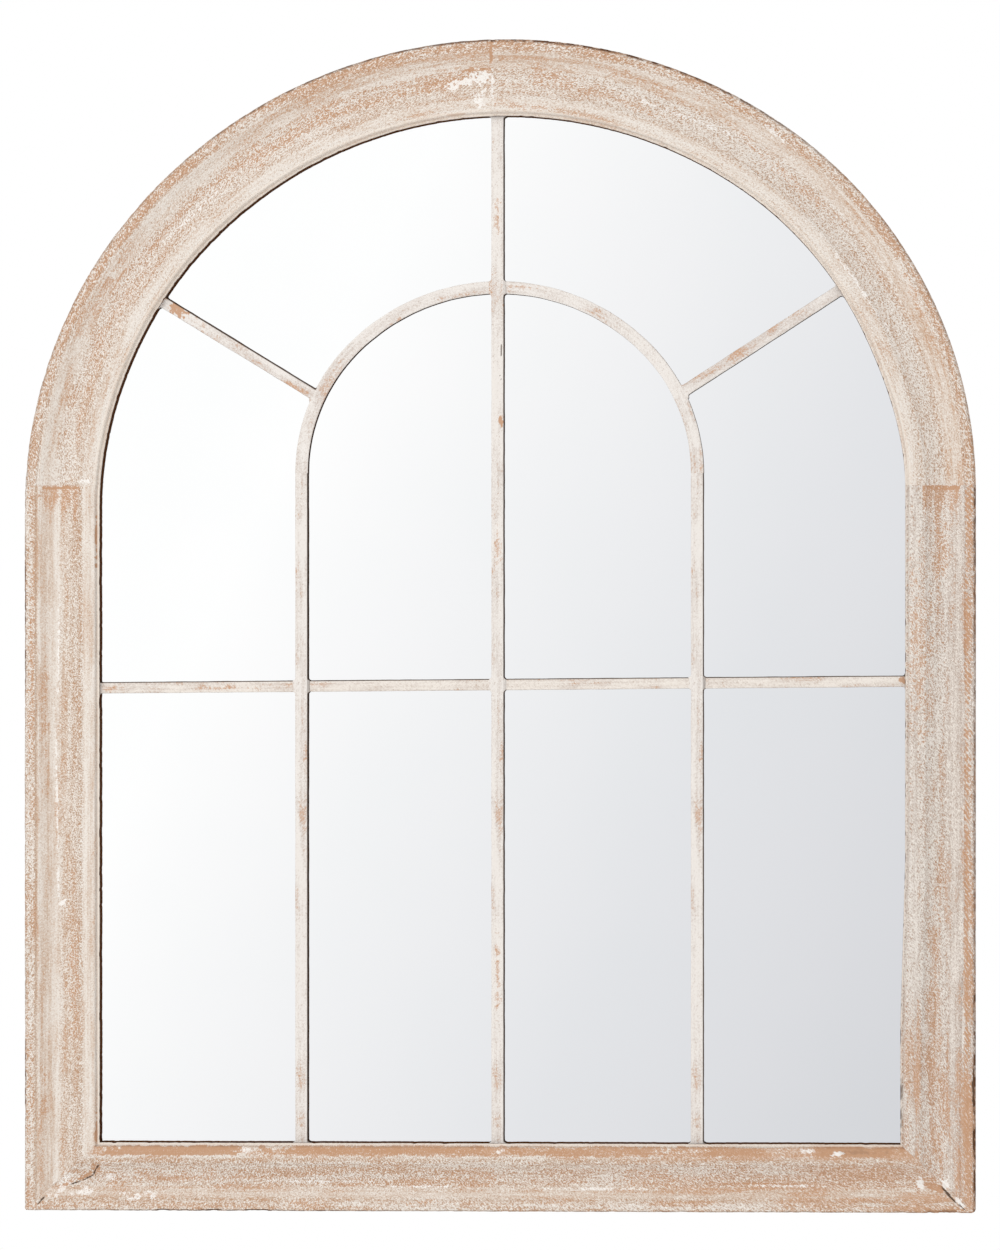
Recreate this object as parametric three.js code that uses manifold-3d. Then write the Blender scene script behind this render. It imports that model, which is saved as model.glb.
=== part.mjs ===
// An arched window mirror: a moulded wooden frame with a three-centred arch, a mirror glass in its
// rebate, glazing bars in front of the glass, and the board and metal parts that hold it from behind.
//
// Millimetres and degrees. The front looks along -Y, X runs to the right and Z up. Inside the frame's
// group the back of the frame lies at Y = 0, and a height is a distance from there to the front.

import * as THREE from 'three';
import { mergeVertices } from 'three/addons/utils/BufferGeometryUtils.js';
import Module from 'manifold-3d';

const wasm = await Module();
wasm.setup();

// ---------------------------------------------------------------- driving dimensions

// Outline of the frame. The arch is hand sawn, so its two haunches differ a little.
const OUTER_WIDTH = 800;
const FRAME_DEPTH = 30;
const LEFT_STILE_FACE = 62.2;
const RIGHT_STILE_FACE = 59.2;
const RAIL_FACE = 57.1;
const ARCH_FACE = 64.3;
const FOOT_EASE_ANGLE = 24;
const JOINT_HEIGHT = 610.5;
const LEFT_HAUNCH_HEIGHT = 591.2;
const LEFT_HAUNCH_RADIUS = 384.4;
const LEFT_HAUNCH_ANGLE = 41.3;
const RIGHT_HAUNCH_RADIUS = 372.7;
const RIGHT_HAUNCH_ANGLE = 56.7;
const CROWN_SEAM_X = -7;

// The right stile's outer band spreads towards the foot.
const FOOT_SPREAD = 4;
const SPREAD_FULL_HEIGHT = 110;
const SPREAD_START_HEIGHT = 265;

// The moulding, from the outer edge inwards: flat band, quirk, cove, raised band and sight lip.
const OUTER_BAND = 8;
const EDGE_ROUNDING = 1.2;
const QUIRK_WIDTH = 1.6;
const QUIRK_DEPTH = 1.8;
const COVE_SHOULDER = 1.9;
const COVE_DROP = 1.2;
const COVE_DEPTH = 5.6;
const COVE_STEPS = 6;
const RAISED_BAND = 12.5;
const RAISED_BAND_DROP = 1.1;
const RAISED_BAND_CROWN = 0.5;
const SIGHT_LIP = 3.8;
const SIGHT_LIP_DROP = 5.4;

// Glass and board, which lie in the rebate behind the lip.
const GLASS_THICKNESS = 4;
const BOARD_THICKNESS = 6;
const BOARD_RECESS = 0.4;
const REBATE_WIDTH = 8;
const REBATE_SIDE_GAP = 1;
const SEAT_GAP = 0.3;

// Glazing bars, placed by their centre lines.
const BAR_WIDTH = 10.6;
const CROSS_BAR_WIDTH = 9.4;
const DIAGONAL_WIDTH = 9.6;
const BAR_DEPTH = 9.5;
const BAR_EDGE = 0.9;
const BAR_HOUSING = 5;
const CENTRE_BAR_X = -1.7;
const LEG_LEFT_X = -167;
const LEG_RIGHT_X = 166.2;
const CROSS_BAR_HEIGHT = 442.9;
const CROSS_BAR_SLOPE = 0.5;
const INNER_ARCH_FOOT = 620.8;
const INNER_HAUNCH_RADIUS = 148.7;
const INNER_HAUNCH_ANGLE = 45;
const LEFT_DIAGONAL_FOCUS = 591.5;
const LEFT_DIAGONAL_ANGLE = 31.5;
const RIGHT_DIAGONAL_FOCUS = 589.2;
const RIGHT_DIAGONAL_ANGLE = 32.9;

// Dowels in the frame's joints.
const DOWEL_DIAMETER = 8;
const DOWEL_END_GAP = 1;
const BUTT_DOWEL_LENGTH = 40;
const BUTT_DOWEL_PLACES = { outer: 0.34, inner: 0.7 };
const MITRE_DOWEL_LENGTH = 28;
const MITRE_DOWEL_PLACES = { outer: 0.4, inner: 0.75 };

// Round-headed wood screws.
const SCREW_SHANK = 3.4;
const SCREW_LENGTH = 12;
const SCREW_POINT = 3;
const SCREW_HEAD = 6.8;
const SCREW_HEAD_HEIGHT = 2;

// Turn buttons that hold the board in.
const BUTTON_WIDTH = 12;
const BUTTON_REACH = 16;
const BUTTON_THICKNESS = 1.5;
const BUTTON_SETBACK = 9;
const RAIL_BUTTON_X = 180;
const STILE_BUTTON_HEIGHT = 300;
const ARCH_BUTTON_ANGLE = 38;

// Strap hangers with D-rings, on the feet of the arch pieces.
const HANGER_HEIGHT = 690;
const HANGER_INSET = 12;
const STRAP_LENGTH = 34;
const STRAP_WIDTH = 14;
const STRAP_THICKNESS = 2.4;
const STRAP_HOLES = { outer: 6, inner: 20 };
const RING_WIRE = 3;
const RING_WIDTH = 21;
const RING_ARM = 7;
const RING_CORNER = 3;
const LOOP_WALL = 1.2;

// Rubber pads that keep the foot of the frame off the wall.
const PAD_DIAMETER = 16;
const PAD_THICKNESS = 6;
const PAD_ROUNDING = 1.5;
const PAD_HEIGHT = 80;
const PAD_INSET = 30;

// Working clearances and facets.
const GLUE_GAP = 0.3;
const FIT_GAP = 0.3;
const ARC_STEP = 4.5;
const WIRE_STEP = 18;
const ROUND_SIDES = 16;
const SCREW_SIDES = 12;
const WIRE_SIDES = 8;
const CUT_SIZE = 3000;

// ---------------------------------------------------------------- derived values

const HALF_WIDTH = OUTER_WIDTH / 2;
const REBATE_DEPTH = BOARD_RECESS + BOARD_THICKNESS + SEAT_GAP + GLASS_THICKNESS + SEAT_GAP;
const GLASS_COVER = REBATE_WIDTH - REBATE_SIDE_GAP;
const BAR_BACK = REBATE_DEPTH;
const BAR_FRONT = BAR_BACK + BAR_DEPTH;
const LAP_HEIGHT = (BAR_BACK + BAR_FRONT) / 2;
const COVE_FLOOR = FRAME_DEPTH - COVE_DROP - COVE_DEPTH;
const DOWEL_LEVEL = COVE_FLOOR / 2;
const PILOT_RADIUS = SCREW_SHANK / 2 + FIT_GAP;
const LOOP_RADIUS = RING_WIRE / 2 + FIT_GAP + LOOP_WALL;
const LOOP_CENTRE_Y = SEAT_GAP + LOOP_RADIUS;

// ---------------------------------------------------------------- materials

const material = (color, roughness, metalness = 0) => (
  new THREE.MeshStandardMaterial({ color, roughness, metalness })
);
const frameWood = material(0xd9c5b2, 0.7);
const barPaint = material(0xe0d8cc, 0.65);
const dowelWood = material(0xcaa77a, 0.75);
const silveredGlass = material(0xeef0f2, 0.03, 1);
const boardWood = material(0x9a7452, 0.85);
const platedSteel = material(0xb4b3ac, 0.38, 1);
const padRubber = material(0x2b2a29, 0.85);

// ---------------------------------------------------------------- solids

// Turns a closed geometry into a solid that can be joined and cut.
function solid(geometry) {
  const bare = geometry.clone();
  bare.deleteAttribute('normal');
  bare.deleteAttribute('uv');
  const merged = mergeVertices(bare);
  return new wasm.Manifold(new wasm.Mesh({
    numProp: 3,
    vertProperties: merged.attributes.position.array,
    triVerts: new Uint32Array(merged.index.array),
  }));
}

// Turns a solid back into a geometry.
function geometryOf(body) {
  const mesh = body.getMesh();
  const geometry = new THREE.BufferGeometry();
  geometry.setAttribute('position', new THREE.BufferAttribute(mesh.vertProperties, 3));
  geometry.setIndex(new THREE.BufferAttribute(mesh.triVerts, 1));
  geometry.computeVertexNormals();
  return geometry;
}

// Joins a row of matching outlines into one closed body. Each outline runs anticlockwise as seen from
// the row's end. A closed row meets itself and has no caps.
function loft(rings, closed = false) {
  const sides = rings[0].length;
  const rows = rings.length;
  const indices = [];
  const links = closed ? rows : rows - 1;
  for (let row = 0; row < links; row += 1) {
    const near = row * sides;
    const far = ((row + 1) % rows) * sides;
    for (let side = 0; side < sides; side += 1) {
      const next = (side + 1) % sides;
      indices.push(near + side, near + next, far + next);
      indices.push(near + side, far + next, far + side);
    }
  }
  const points = rings.flat();
  if (!closed) {
    const cap = capTriangles(rings[0]);
    const last = (rows - 1) * sides;
    cap.forEach(([a, b, c]) => {
      indices.push(a, c, b);
      indices.push(last + a, last + b, last + c);
    });
  }
  const geometry = new THREE.BufferGeometry();
  const positions = points.flatMap((point) => point.toArray());
  geometry.setAttribute('position', new THREE.Float32BufferAttribute(positions, 3));
  geometry.setIndex(indices);
  geometry.computeVertexNormals();
  return geometry;
}

// Fills a flat outline with triangles that keep the outline's own direction.
function capTriangles(ring) {
  const right = ring[1].clone().sub(ring[0]).normalize();
  const normal = new THREE.Vector3();
  ring.forEach((point, index) => {
    normal.add(point.clone().cross(ring[(index + 1) % ring.length]));
  });
  normal.normalize();
  const up = normal.clone().cross(right);
  const flat = ring.map((point) => new THREE.Vector2(point.dot(right), point.dot(up)));
  return THREE.ShapeUtils.triangulateShape(flat, []);
}

// Everything on one side of a plane that stands square to the glass.
function halfSpace(point, normal) {
  const box = new THREE.BoxGeometry(CUT_SIZE, CUT_SIZE, CUT_SIZE);
  box.translate(0, 0, CUT_SIZE / 2);
  box.rotateY(Math.atan2(normal.x, normal.y));
  box.translate(point.x, 0, point.y);
  return solid(box);
}

// A prism between two heights on an outline drawn in X and Z.
function plate(shape, low, high) {
  const geometry = new THREE.ExtrudeGeometry(shape, {
    depth: high - low,
    bevelEnabled: false,
    curveSegments: ROUND_SIDES / 2,
  });
  geometry.rotateX(Math.PI / 2);
  geometry.translate(0, -low, 0);
  return geometry;
}

// ---------------------------------------------------------------- paths

const radians = (degrees) => THREE.MathUtils.degToRad(degrees);

// A station on a path: where it is, and the direction across it, to the left of the way it runs.
function station(point, travel) {
  return { point, across: new THREE.Vector2(-travel.y, travel.x) };
}

// Stations on an arc, anticlockwise from one angle to another, in radians.
function arcStations(centre, radius, from, to, step = ARC_STEP) {
  const steps = Math.max(1, Math.ceil((to - from) / radians(step)));
  return Array.from({ length: steps + 1 }, (_, index) => {
    const angle = from + ((to - from) * index) / steps;
    const point = new THREE.Vector2(Math.cos(angle), Math.sin(angle)).multiplyScalar(radius).add(centre);
    return { ...station(point, new THREE.Vector2(-Math.sin(angle), Math.cos(angle))), angle };
  });
}

// Stations at both ends of a straight line.
function lineStations(from, to) {
  const travel = to.clone().sub(from).normalize();
  return [station(from, travel), station(to, travel)];
}

// The centres of a three-centred arch: two haunches that leave upright sides, and a crown that runs
// smoothly into both. The crown's radius follows from the span.
function threeCentredArch(leftX, rightX, leftHeight, left, right) {
  const turned = left.radius * (1 - Math.cos(left.angle)) + right.radius * (1 - Math.cos(right.angle));
  const crownRadius = (rightX - leftX - turned) / (Math.cos(left.angle) + Math.cos(right.angle));
  const leftCentre = new THREE.Vector2(leftX + left.radius, leftHeight);
  const crownCentre = new THREE.Vector2(Math.cos(left.angle), -Math.sin(left.angle))
    .multiplyScalar(crownRadius - left.radius)
    .add(leftCentre);
  const rightCentre = new THREE.Vector2(Math.cos(right.angle), Math.sin(right.angle))
    .multiplyScalar(crownRadius - right.radius)
    .add(crownCentre);
  return {
    left: { ...left, centre: leftCentre },
    right: { ...right, centre: rightCentre },
    crown: { radius: crownRadius, centre: crownCentre },
  };
}

// Stations all along a three-centred arch, anticlockwise from its right foot to its left one.
function archStations({ left, right, crown }) {
  const crownEnd = Math.PI - left.angle;
  return [
    ...arcStations(right.centre, right.radius, 0, right.angle),
    ...arcStations(crown.centre, crown.radius, right.angle, crownEnd).slice(1),
    ...arcStations(left.centre, left.radius, crownEnd, Math.PI).slice(1),
  ];
}

const arch = threeCentredArch(
  -HALF_WIDTH,
  HALF_WIDTH,
  LEFT_HAUNCH_HEIGHT,
  { radius: LEFT_HAUNCH_RADIUS, angle: radians(LEFT_HAUNCH_ANGLE) },
  { radius: RIGHT_HAUNCH_RADIUS, angle: radians(RIGHT_HAUNCH_ANGLE) },
);
const innerHaunch = { radius: INNER_HAUNCH_RADIUS, angle: radians(INNER_HAUNCH_ANGLE) };
const innerArch = threeCentredArch(LEG_LEFT_X, LEG_RIGHT_X, INNER_ARCH_FOOT, innerHaunch, innerHaunch);

// ---------------------------------------------------------------- moulded frame

// The moulding's section: across from the outer edge, and up from the back.
function frameSection({ face, band = OUTER_BAND }) {
  const coveStart = band + QUIRK_WIDTH + COVE_SHOULDER;
  const coveEnd = face - SIGHT_LIP - RAISED_BAND - QUIRK_WIDTH;
  const coveStartHeight = FRAME_DEPTH - COVE_DROP;
  const bandHeight = FRAME_DEPTH - RAISED_BAND_DROP;
  const coveEndHeight = bandHeight - RAISED_BAND_CROWN - EDGE_ROUNDING;
  const lipHeight = FRAME_DEPTH - SIGHT_LIP_DROP;
  const bandEnd = face - SIGHT_LIP;
  const points = [
    [0, 0],
    [face - REBATE_WIDTH, 0],
    [face - REBATE_WIDTH, REBATE_DEPTH],
    [face, REBATE_DEPTH],
    [face, lipHeight - EDGE_ROUNDING],
    [face - EDGE_ROUNDING / 2, lipHeight],
    [bandEnd + QUIRK_WIDTH / 2, lipHeight],
    [bandEnd, lipHeight + QUIRK_DEPTH],
    [bandEnd - EDGE_ROUNDING, bandHeight - RAISED_BAND_CROWN],
    [bandEnd - RAISED_BAND / 2, bandHeight],
    [coveEnd + EDGE_ROUNDING, bandHeight - RAISED_BAND_CROWN],
  ];
  for (let step = COVE_STEPS; step >= 0; step -= 1) {
    const way = step / COVE_STEPS;
    const line = coveStartHeight + (coveEndHeight - coveStartHeight) * way;
    points.push([coveStart + (coveEnd - coveStart) * way, line - COVE_DEPTH * Math.sin(Math.PI * way)]);
  }
  points.push([band + QUIRK_WIDTH, FRAME_DEPTH - EDGE_ROUNDING / 2]);
  points.push([band + QUIRK_WIDTH / 2, FRAME_DEPTH - QUIRK_DEPTH]);
  points.push([band, FRAME_DEPTH]);
  points.push([EDGE_ROUNDING, FRAME_DEPTH]);
  points.push([0, FRAME_DEPTH - EDGE_ROUNDING]);
  return points;
}

// Carries a section along stations. The section may differ from one station to the next.
function sweep(stations, sectionAt, closed = false) {
  const rings = stations.map((spot) => sectionAt(spot).map(([aside, height]) => (
    new THREE.Vector3(spot.point.x + spot.across.x * aside, -height, spot.point.y + spot.across.y * aside)
  )));
  return loft(rings, closed);
}

const mouldingBody = (stations) => solid(sweep(stations, frameSection));

// Each foot of the arch starts as wide as the stile under it and grows to the arch's own width.
function withFace(spot) {
  const rightSide = spot.angle < Math.PI / 2;
  const fromFoot = rightSide ? spot.angle : Math.PI - spot.angle;
  const stileFace = rightSide ? RIGHT_STILE_FACE : LEFT_STILE_FACE;
  const way = Math.min(1, fromFoot / radians(FOOT_EASE_ANGLE));
  return { ...spot, face: stileFace + (ARCH_FACE - stileFace) * way * way * (3 - 2 * way) };
}
const archPath = archStations(arch).map(withFace);

// A station on the right stile below the arch, where the outer band may be spread.
function rightStileStation(height, spread) {
  return {
    point: new THREE.Vector2(HALF_WIDTH, height),
    across: new THREE.Vector2(-1, 0),
    face: RIGHT_STILE_FACE + spread,
    band: OUTER_BAND + spread,
  };
}
const rightStileFoot = [
  rightStileStation(SPREAD_FULL_HEIGHT, FOOT_SPREAD),
  rightStileStation(SPREAD_START_HEIGHT, 0),
];
const leftFoot = archPath[archPath.length - 1];

// Each half of the frame runs from below its mitre to a little past the crown seam.
const seamAngle = Math.acos((CROWN_SEAM_X - arch.crown.centre.x) / arch.crown.radius);
const seamWaste = 2 * radians(ARC_STEP);
const rightHalf = mouldingBody([
  rightStileStation(-RAIL_FACE, FOOT_SPREAD),
  ...rightStileFoot,
  ...archPath.filter(({ angle }) => angle < seamAngle + seamWaste),
]);
const leftHalf = mouldingBody([
  ...archPath.filter(({ angle }) => angle > seamAngle - seamWaste),
  { ...leftFoot, point: new THREE.Vector2(leftFoot.point.x, -RAIL_FACE) },
]);

// What is cut where two pieces of the frame meet: half the glue line from each.
const glueOffset = GLUE_GAP / 2;
const aboveJoint = halfSpace(new THREE.Vector2(0, JOINT_HEIGHT + glueOffset), new THREE.Vector2(0, 1));
const belowJoint = halfSpace(new THREE.Vector2(0, JOINT_HEIGHT - glueOffset), new THREE.Vector2(0, -1));
const rightOfSeam = halfSpace(new THREE.Vector2(CROWN_SEAM_X + glueOffset, 0), new THREE.Vector2(1, 0));
const leftOfSeam = halfSpace(new THREE.Vector2(CROWN_SEAM_X - glueOffset, 0), new THREE.Vector2(-1, 0));

// A bottom corner: its mitre runs from the outer corner to the corner of the sight lip.
function mitre(side, stileFace) {
  const corner = new THREE.Vector2(side * HALF_WIDTH, 0);
  const along = new THREE.Vector2(-side * stileFace, RAIL_FACE);
  const length = along.length();
  along.normalize();
  const upwards = new THREE.Vector2(side * along.y, -side * along.x);
  const stileSide = halfSpace(corner.clone().addScaledVector(upwards, glueOffset), upwards);
  const railSide = halfSpace(corner.clone().addScaledVector(upwards, -glueOffset), upwards.clone().negate());
  return { corner, along, length, upwards, stileSide, railSide };
}
const leftMitre = mitre(-1, LEFT_STILE_FACE);
const rightMitre = mitre(1, RIGHT_STILE_FACE + FOOT_SPREAD);

function railBody() {
  const stations = lineStations(new THREE.Vector2(-OUTER_WIDTH, 0), new THREE.Vector2(OUTER_WIDTH, 0));
  const body = mouldingBody(stations.map((spot) => ({ ...spot, face: RAIL_FACE })));
  return body.intersect(leftMitre.railSide).intersect(rightMitre.railSide);
}

// ---------------------------------------------------------------- the opening

// The outline of the opening, grown outwards under the sight lip by a cover.
function openingShape(cover) {
  const low = RAIL_FACE - cover;
  const edge = [...rightStileFoot, ...archPath].map(({ point, across, face }) => (
    point.clone().addScaledVector(across, face - cover)
  ));
  const leftCorner = new THREE.Vector2(edge[edge.length - 1].x, low);
  const rightCorner = new THREE.Vector2(edge[0].x, low);
  return new THREE.Shape([leftCorner, rightCorner, ...edge]);
}

const openingPlate = (cover, low, high) => plate(openingShape(cover), low, high);

const glassBack = BOARD_RECESS + BOARD_THICKNESS + SEAT_GAP;
const glassPlate = openingPlate(GLASS_COVER, glassBack, glassBack + GLASS_THICKNESS);
const boardPlate = openingPlate(GLASS_COVER, BOARD_RECESS, BOARD_RECESS + BOARD_THICKNESS);

// ---------------------------------------------------------------- glazing bars

// A glazing bar's section, with eased front edges, and the plain section of the room it needs.
function barSection(width) {
  const half = width / 2;
  return [
    [-half, BAR_BACK],
    [half, BAR_BACK],
    [half, BAR_FRONT - BAR_EDGE],
    [half - BAR_EDGE, BAR_FRONT],
    [BAR_EDGE - half, BAR_FRONT],
    [-half, BAR_FRONT - BAR_EDGE],
  ];
}

function roomSection(width, low, high) {
  const half = width / 2 + FIT_GAP;
  return [[-half, low], [half, low], [half, high], [-half, high]];
}

const barBody = (path, width) => solid(sweep(path, () => barSection(width)));
const barRoom = (path, width, low, high) => solid(sweep(path, () => roomSection(width, low, high)));

// Where a line from a point first leaves a circle around that line's start.
function leaveCircle(start, direction, centre, radius) {
  const offset = start.clone().sub(centre);
  const along = offset.dot(direction);
  const reach = Math.sqrt(along * along - offset.lengthSq() + radius * radius) - along;
  return start.clone().addScaledVector(direction, reach);
}

const crossBarRise = HALF_WIDTH * Math.tan(radians(CROSS_BAR_SLOPE));
const crossBarPath = lineStations(
  new THREE.Vector2(-HALF_WIDTH, CROSS_BAR_HEIGHT - crossBarRise),
  new THREE.Vector2(HALF_WIDTH, CROSS_BAR_HEIGHT + crossBarRise),
);
const crownHeight = arch.crown.centre.y + arch.crown.radius;
const uprightPath = (x, top) => lineStations(new THREE.Vector2(x, 0), new THREE.Vector2(x, top));
const centreBarPath = uprightPath(CENTRE_BAR_X, crownHeight);
const legTop = INNER_ARCH_FOOT - GLUE_GAP;
const legPaths = {
  left: uprightPath(LEG_LEFT_X, legTop),
  right: uprightPath(LEG_RIGHT_X, legTop),
};
const innerArchPath = archStations(innerArch);

// A diagonal starts on the inner arch's centre line and points away from its focus.
function diagonalPath(side, focusHeight, angle) {
  const focus = new THREE.Vector2((LEG_LEFT_X + LEG_RIGHT_X) / 2, focusHeight);
  const direction = new THREE.Vector2(side * Math.cos(radians(angle)), Math.sin(radians(angle)));
  const haunch = side < 0 ? innerArch.left : innerArch.right;
  const start = leaveCircle(focus, direction, haunch.centre, haunch.radius);
  return lineStations(start, start.clone().addScaledVector(direction, HALF_WIDTH));
}
const diagonalPaths = {
  left: diagonalPath(-1, LEFT_DIAGONAL_FOCUS, LEFT_DIAGONAL_ANGLE),
  right: diagonalPath(1, RIGHT_DIAGONAL_FOCUS, RIGHT_DIAGONAL_ANGLE),
};

// The room behind, in front of and all round a bar where it crosses or meets another piece.
const backHalf = (path, width) => barRoom(path, width, BAR_BACK - FIT_GAP, LAP_HEIGHT + FIT_GAP / 2);
const frontHalf = (path, width) => barRoom(path, width, LAP_HEIGHT - FIT_GAP / 2, BAR_FRONT + FIT_GAP);
const wholeRoom = (path, width) => barRoom(path, width, BAR_BACK - FIT_GAP, BAR_FRONT + FIT_GAP);

// The bars end in housings under the lip. Uprights keep their front half where they cross another bar.
const barField = solid(openingPlate(BAR_HOUSING, BAR_BACK - FIT_GAP, BAR_FRONT + FIT_GAP));
const crossBarRoom = backHalf(crossBarPath, CROSS_BAR_WIDTH);
const innerArchRoom = wholeRoom(innerArchPath, BAR_WIDTH);

function centreBar() {
  const body = barBody(centreBarPath, BAR_WIDTH).intersect(barField);
  return body.subtract(crossBarRoom).subtract(backHalf(innerArchPath, BAR_WIDTH));
}

function crossBar() {
  const uprights = [centreBarPath, legPaths.left, legPaths.right];
  const body = barBody(crossBarPath, CROSS_BAR_WIDTH).intersect(barField);
  return uprights.reduce((rest, path) => rest.subtract(frontHalf(path, BAR_WIDTH)), body);
}

const legBar = (side) => barBody(legPaths[side], BAR_WIDTH).intersect(barField).subtract(crossBarRoom);
const innerArchBar = () => barBody(innerArchPath, BAR_WIDTH).subtract(frontHalf(centreBarPath, BAR_WIDTH));
const diagonalBar = (side) => (
  barBody(diagonalPaths[side], DIAGONAL_WIDTH).intersect(barField).subtract(innerArchRoom)
);

// Housings in the back of the lip, one for each bar's end, with the same gap all round.
const housingField = solid(openingPlate(BAR_HOUSING + FIT_GAP, BAR_BACK - FIT_GAP, BAR_FRONT + FIT_GAP));
const housings = [
  [centreBarPath, BAR_WIDTH],
  [crossBarPath, CROSS_BAR_WIDTH],
  [legPaths.left, BAR_WIDTH],
  [legPaths.right, BAR_WIDTH],
  [diagonalPaths.left, DIAGONAL_WIDTH],
  [diagonalPaths.right, DIAGONAL_WIDTH],
].map(([path, width]) => wholeRoom(path, width).intersect(housingField))
  .reduce((all, room) => all.add(room));

// ---------------------------------------------------------------- dowels

// A round rod in the plane of the frame, centred on a point and running along a direction.
function rod(centre, direction, diameter, length) {
  const geometry = new THREE.CylinderGeometry(diameter / 2, diameter / 2, length, ROUND_SIDES);
  geometry.rotateZ(-Math.PI / 2);
  geometry.rotateY(-Math.atan2(direction.y, direction.x));
  geometry.translate(centre.x, -DOWEL_LEVEL, centre.y);
  return solid(geometry);
}

// The dowels across a joint, each at a share of its solid width, and the bores that take them.
function dowelJoint(outer, across, width, places, direction, length) {
  return Object.entries(places).map(([place, share]) => {
    const centre = outer.clone().addScaledVector(across, share * width);
    const bore = rod(centre, direction, DOWEL_DIAMETER + 2 * FIT_GAP, length + 2 * DOWEL_END_GAP);
    return { place, dowel: rod(centre, direction, DOWEL_DIAMETER, length), bore };
  });
}

function buttJoint(outer, across, face, direction) {
  return dowelJoint(outer, across, face - REBATE_WIDTH, BUTT_DOWEL_PLACES, direction, BUTT_DOWEL_LENGTH);
}

function mitreJoint({ corner, along, length, upwards }, stileFace) {
  const solidLength = length * (1 - REBATE_WIDTH / Math.min(stileFace, RAIL_FACE));
  return dowelJoint(corner, along, solidLength, MITRE_DOWEL_PLACES, upwards, MITRE_DOWEL_LENGTH);
}

const upright = new THREE.Vector2(0, 1);
const inwards = (side) => new THREE.Vector2(-side, 0);
const leftOuter = new THREE.Vector2(-HALF_WIDTH, JOINT_HEIGHT);
const rightOuter = new THREE.Vector2(HALF_WIDTH, JOINT_HEIGHT);
const seamTop = new THREE.Vector2(
  CROWN_SEAM_X,
  arch.crown.centre.y + arch.crown.radius * Math.sin(seamAngle),
);
const joints = {
  crown: buttJoint(seamTop, new THREE.Vector2(0, -1), ARCH_FACE, new THREE.Vector2(1, 0)),
  springing_left: buttJoint(leftOuter, inwards(-1), LEFT_STILE_FACE, upright),
  springing_right: buttJoint(rightOuter, inwards(1), RIGHT_STILE_FACE, upright),
  mitre_left: mitreJoint(leftMitre, LEFT_STILE_FACE),
  mitre_right: mitreJoint(rightMitre, RIGHT_STILE_FACE + FOOT_SPREAD),
};

// ---------------------------------------------------------------- screws, buttons, hangers, pads

// A screw along Y with the underside of its head at Y = 0 and its point in the wood.
function screwGeometry() {
  const shank = SCREW_SHANK / 2;
  const head = SCREW_HEAD / 2;
  const profile = [
    [0, -SCREW_LENGTH],
    [shank, SCREW_POINT - SCREW_LENGTH],
    [shank, 0],
    [head, 0],
    [head, SCREW_HEAD_HEIGHT * 0.4],
    [head * 0.7, SCREW_HEAD_HEIGHT * 0.85],
    [0, SCREW_HEAD_HEIGHT],
  ].map(([radius, y]) => new THREE.Vector2(radius, y));
  return new THREE.LatheGeometry(profile, SCREW_SIDES);
}

// A straight hole through anything at a site, from one Y to another.
function drill(site, from, to, radius = PILOT_RADIUS) {
  const geometry = new THREE.CylinderGeometry(radius, radius, to - from, SCREW_SIDES);
  geometry.translate(site.x, (from + to) / 2, site.y);
  return solid(geometry);
}

const joinAll = (bodies) => bodies.reduce((all, body) => all.add(body));

// The turn buttons: where each is pivoted, and the way to the middle of the opening from there.
function buttonSite(name, outer, across, face) {
  const pivot = outer.clone().addScaledVector(across, face - REBATE_WIDTH - BUTTON_SETBACK);
  return { name, pivot, across };
}

function archButtonSite(name, haunch, angle, face) {
  const [spot] = arcStations(haunch.centre, haunch.radius, angle, angle);
  return buttonSite(name, spot.point, spot.across, face);
}

const leftOfStile = new THREE.Vector2(-HALF_WIDTH, STILE_BUTTON_HEIGHT);
const rightOfStile = new THREE.Vector2(HALF_WIDTH, STILE_BUTTON_HEIGHT);
const buttonSites = [
  buttonSite('rail_left', new THREE.Vector2(-RAIL_BUTTON_X, 0), upright, RAIL_FACE),
  buttonSite('rail_right', new THREE.Vector2(RAIL_BUTTON_X, 0), upright, RAIL_FACE),
  buttonSite('stile_left', leftOfStile, inwards(-1), LEFT_STILE_FACE),
  buttonSite('stile_right', rightOfStile, inwards(1), RIGHT_STILE_FACE),
  archButtonSite('arch_left', arch.left, Math.PI - radians(ARCH_BUTTON_ANGLE), ARCH_FACE),
  archButtonSite('arch_right', arch.right, radians(ARCH_BUTTON_ANGLE), ARCH_FACE),
];

// A stamped button, flat on the frame, with its hole at the origin and its tip along +X.
function buttonGeometry() {
  const half = BUTTON_WIDTH / 2;
  const shape = new THREE.Shape();
  shape.absarc(0, 0, half, Math.PI / 2, (3 * Math.PI) / 2);
  shape.absarc(BUTTON_REACH, 0, half, -Math.PI / 2, Math.PI / 2);
  const hole = new THREE.Path();
  hole.absarc(0, 0, PILOT_RADIUS, 0, 2 * Math.PI);
  shape.holes.push(hole);
  return plate(shape, -SEAT_GAP - BUTTON_THICKNESS, -SEAT_GAP);
}

// The hangers stand where the outer edge of each haunch passes their height.
function hangerSite(side, haunch) {
  const rise = HANGER_HEIGHT - haunch.centre.y;
  const edge = haunch.centre.x + side * Math.sqrt(haunch.radius ** 2 - rise ** 2);
  const loop = new THREE.Vector2(edge - side * (HANGER_INSET + STRAP_LENGTH), HANGER_HEIGHT);
  const holes = Object.values(STRAP_HOLES).map((reach) => (
    new THREE.Vector2(edge - side * (HANGER_INSET + reach), HANGER_HEIGHT)
  ));
  return { side, loop, holes };
}
const hangers = {
  left: hangerSite(-1, arch.left),
  right: hangerSite(1, arch.right),
};

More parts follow.
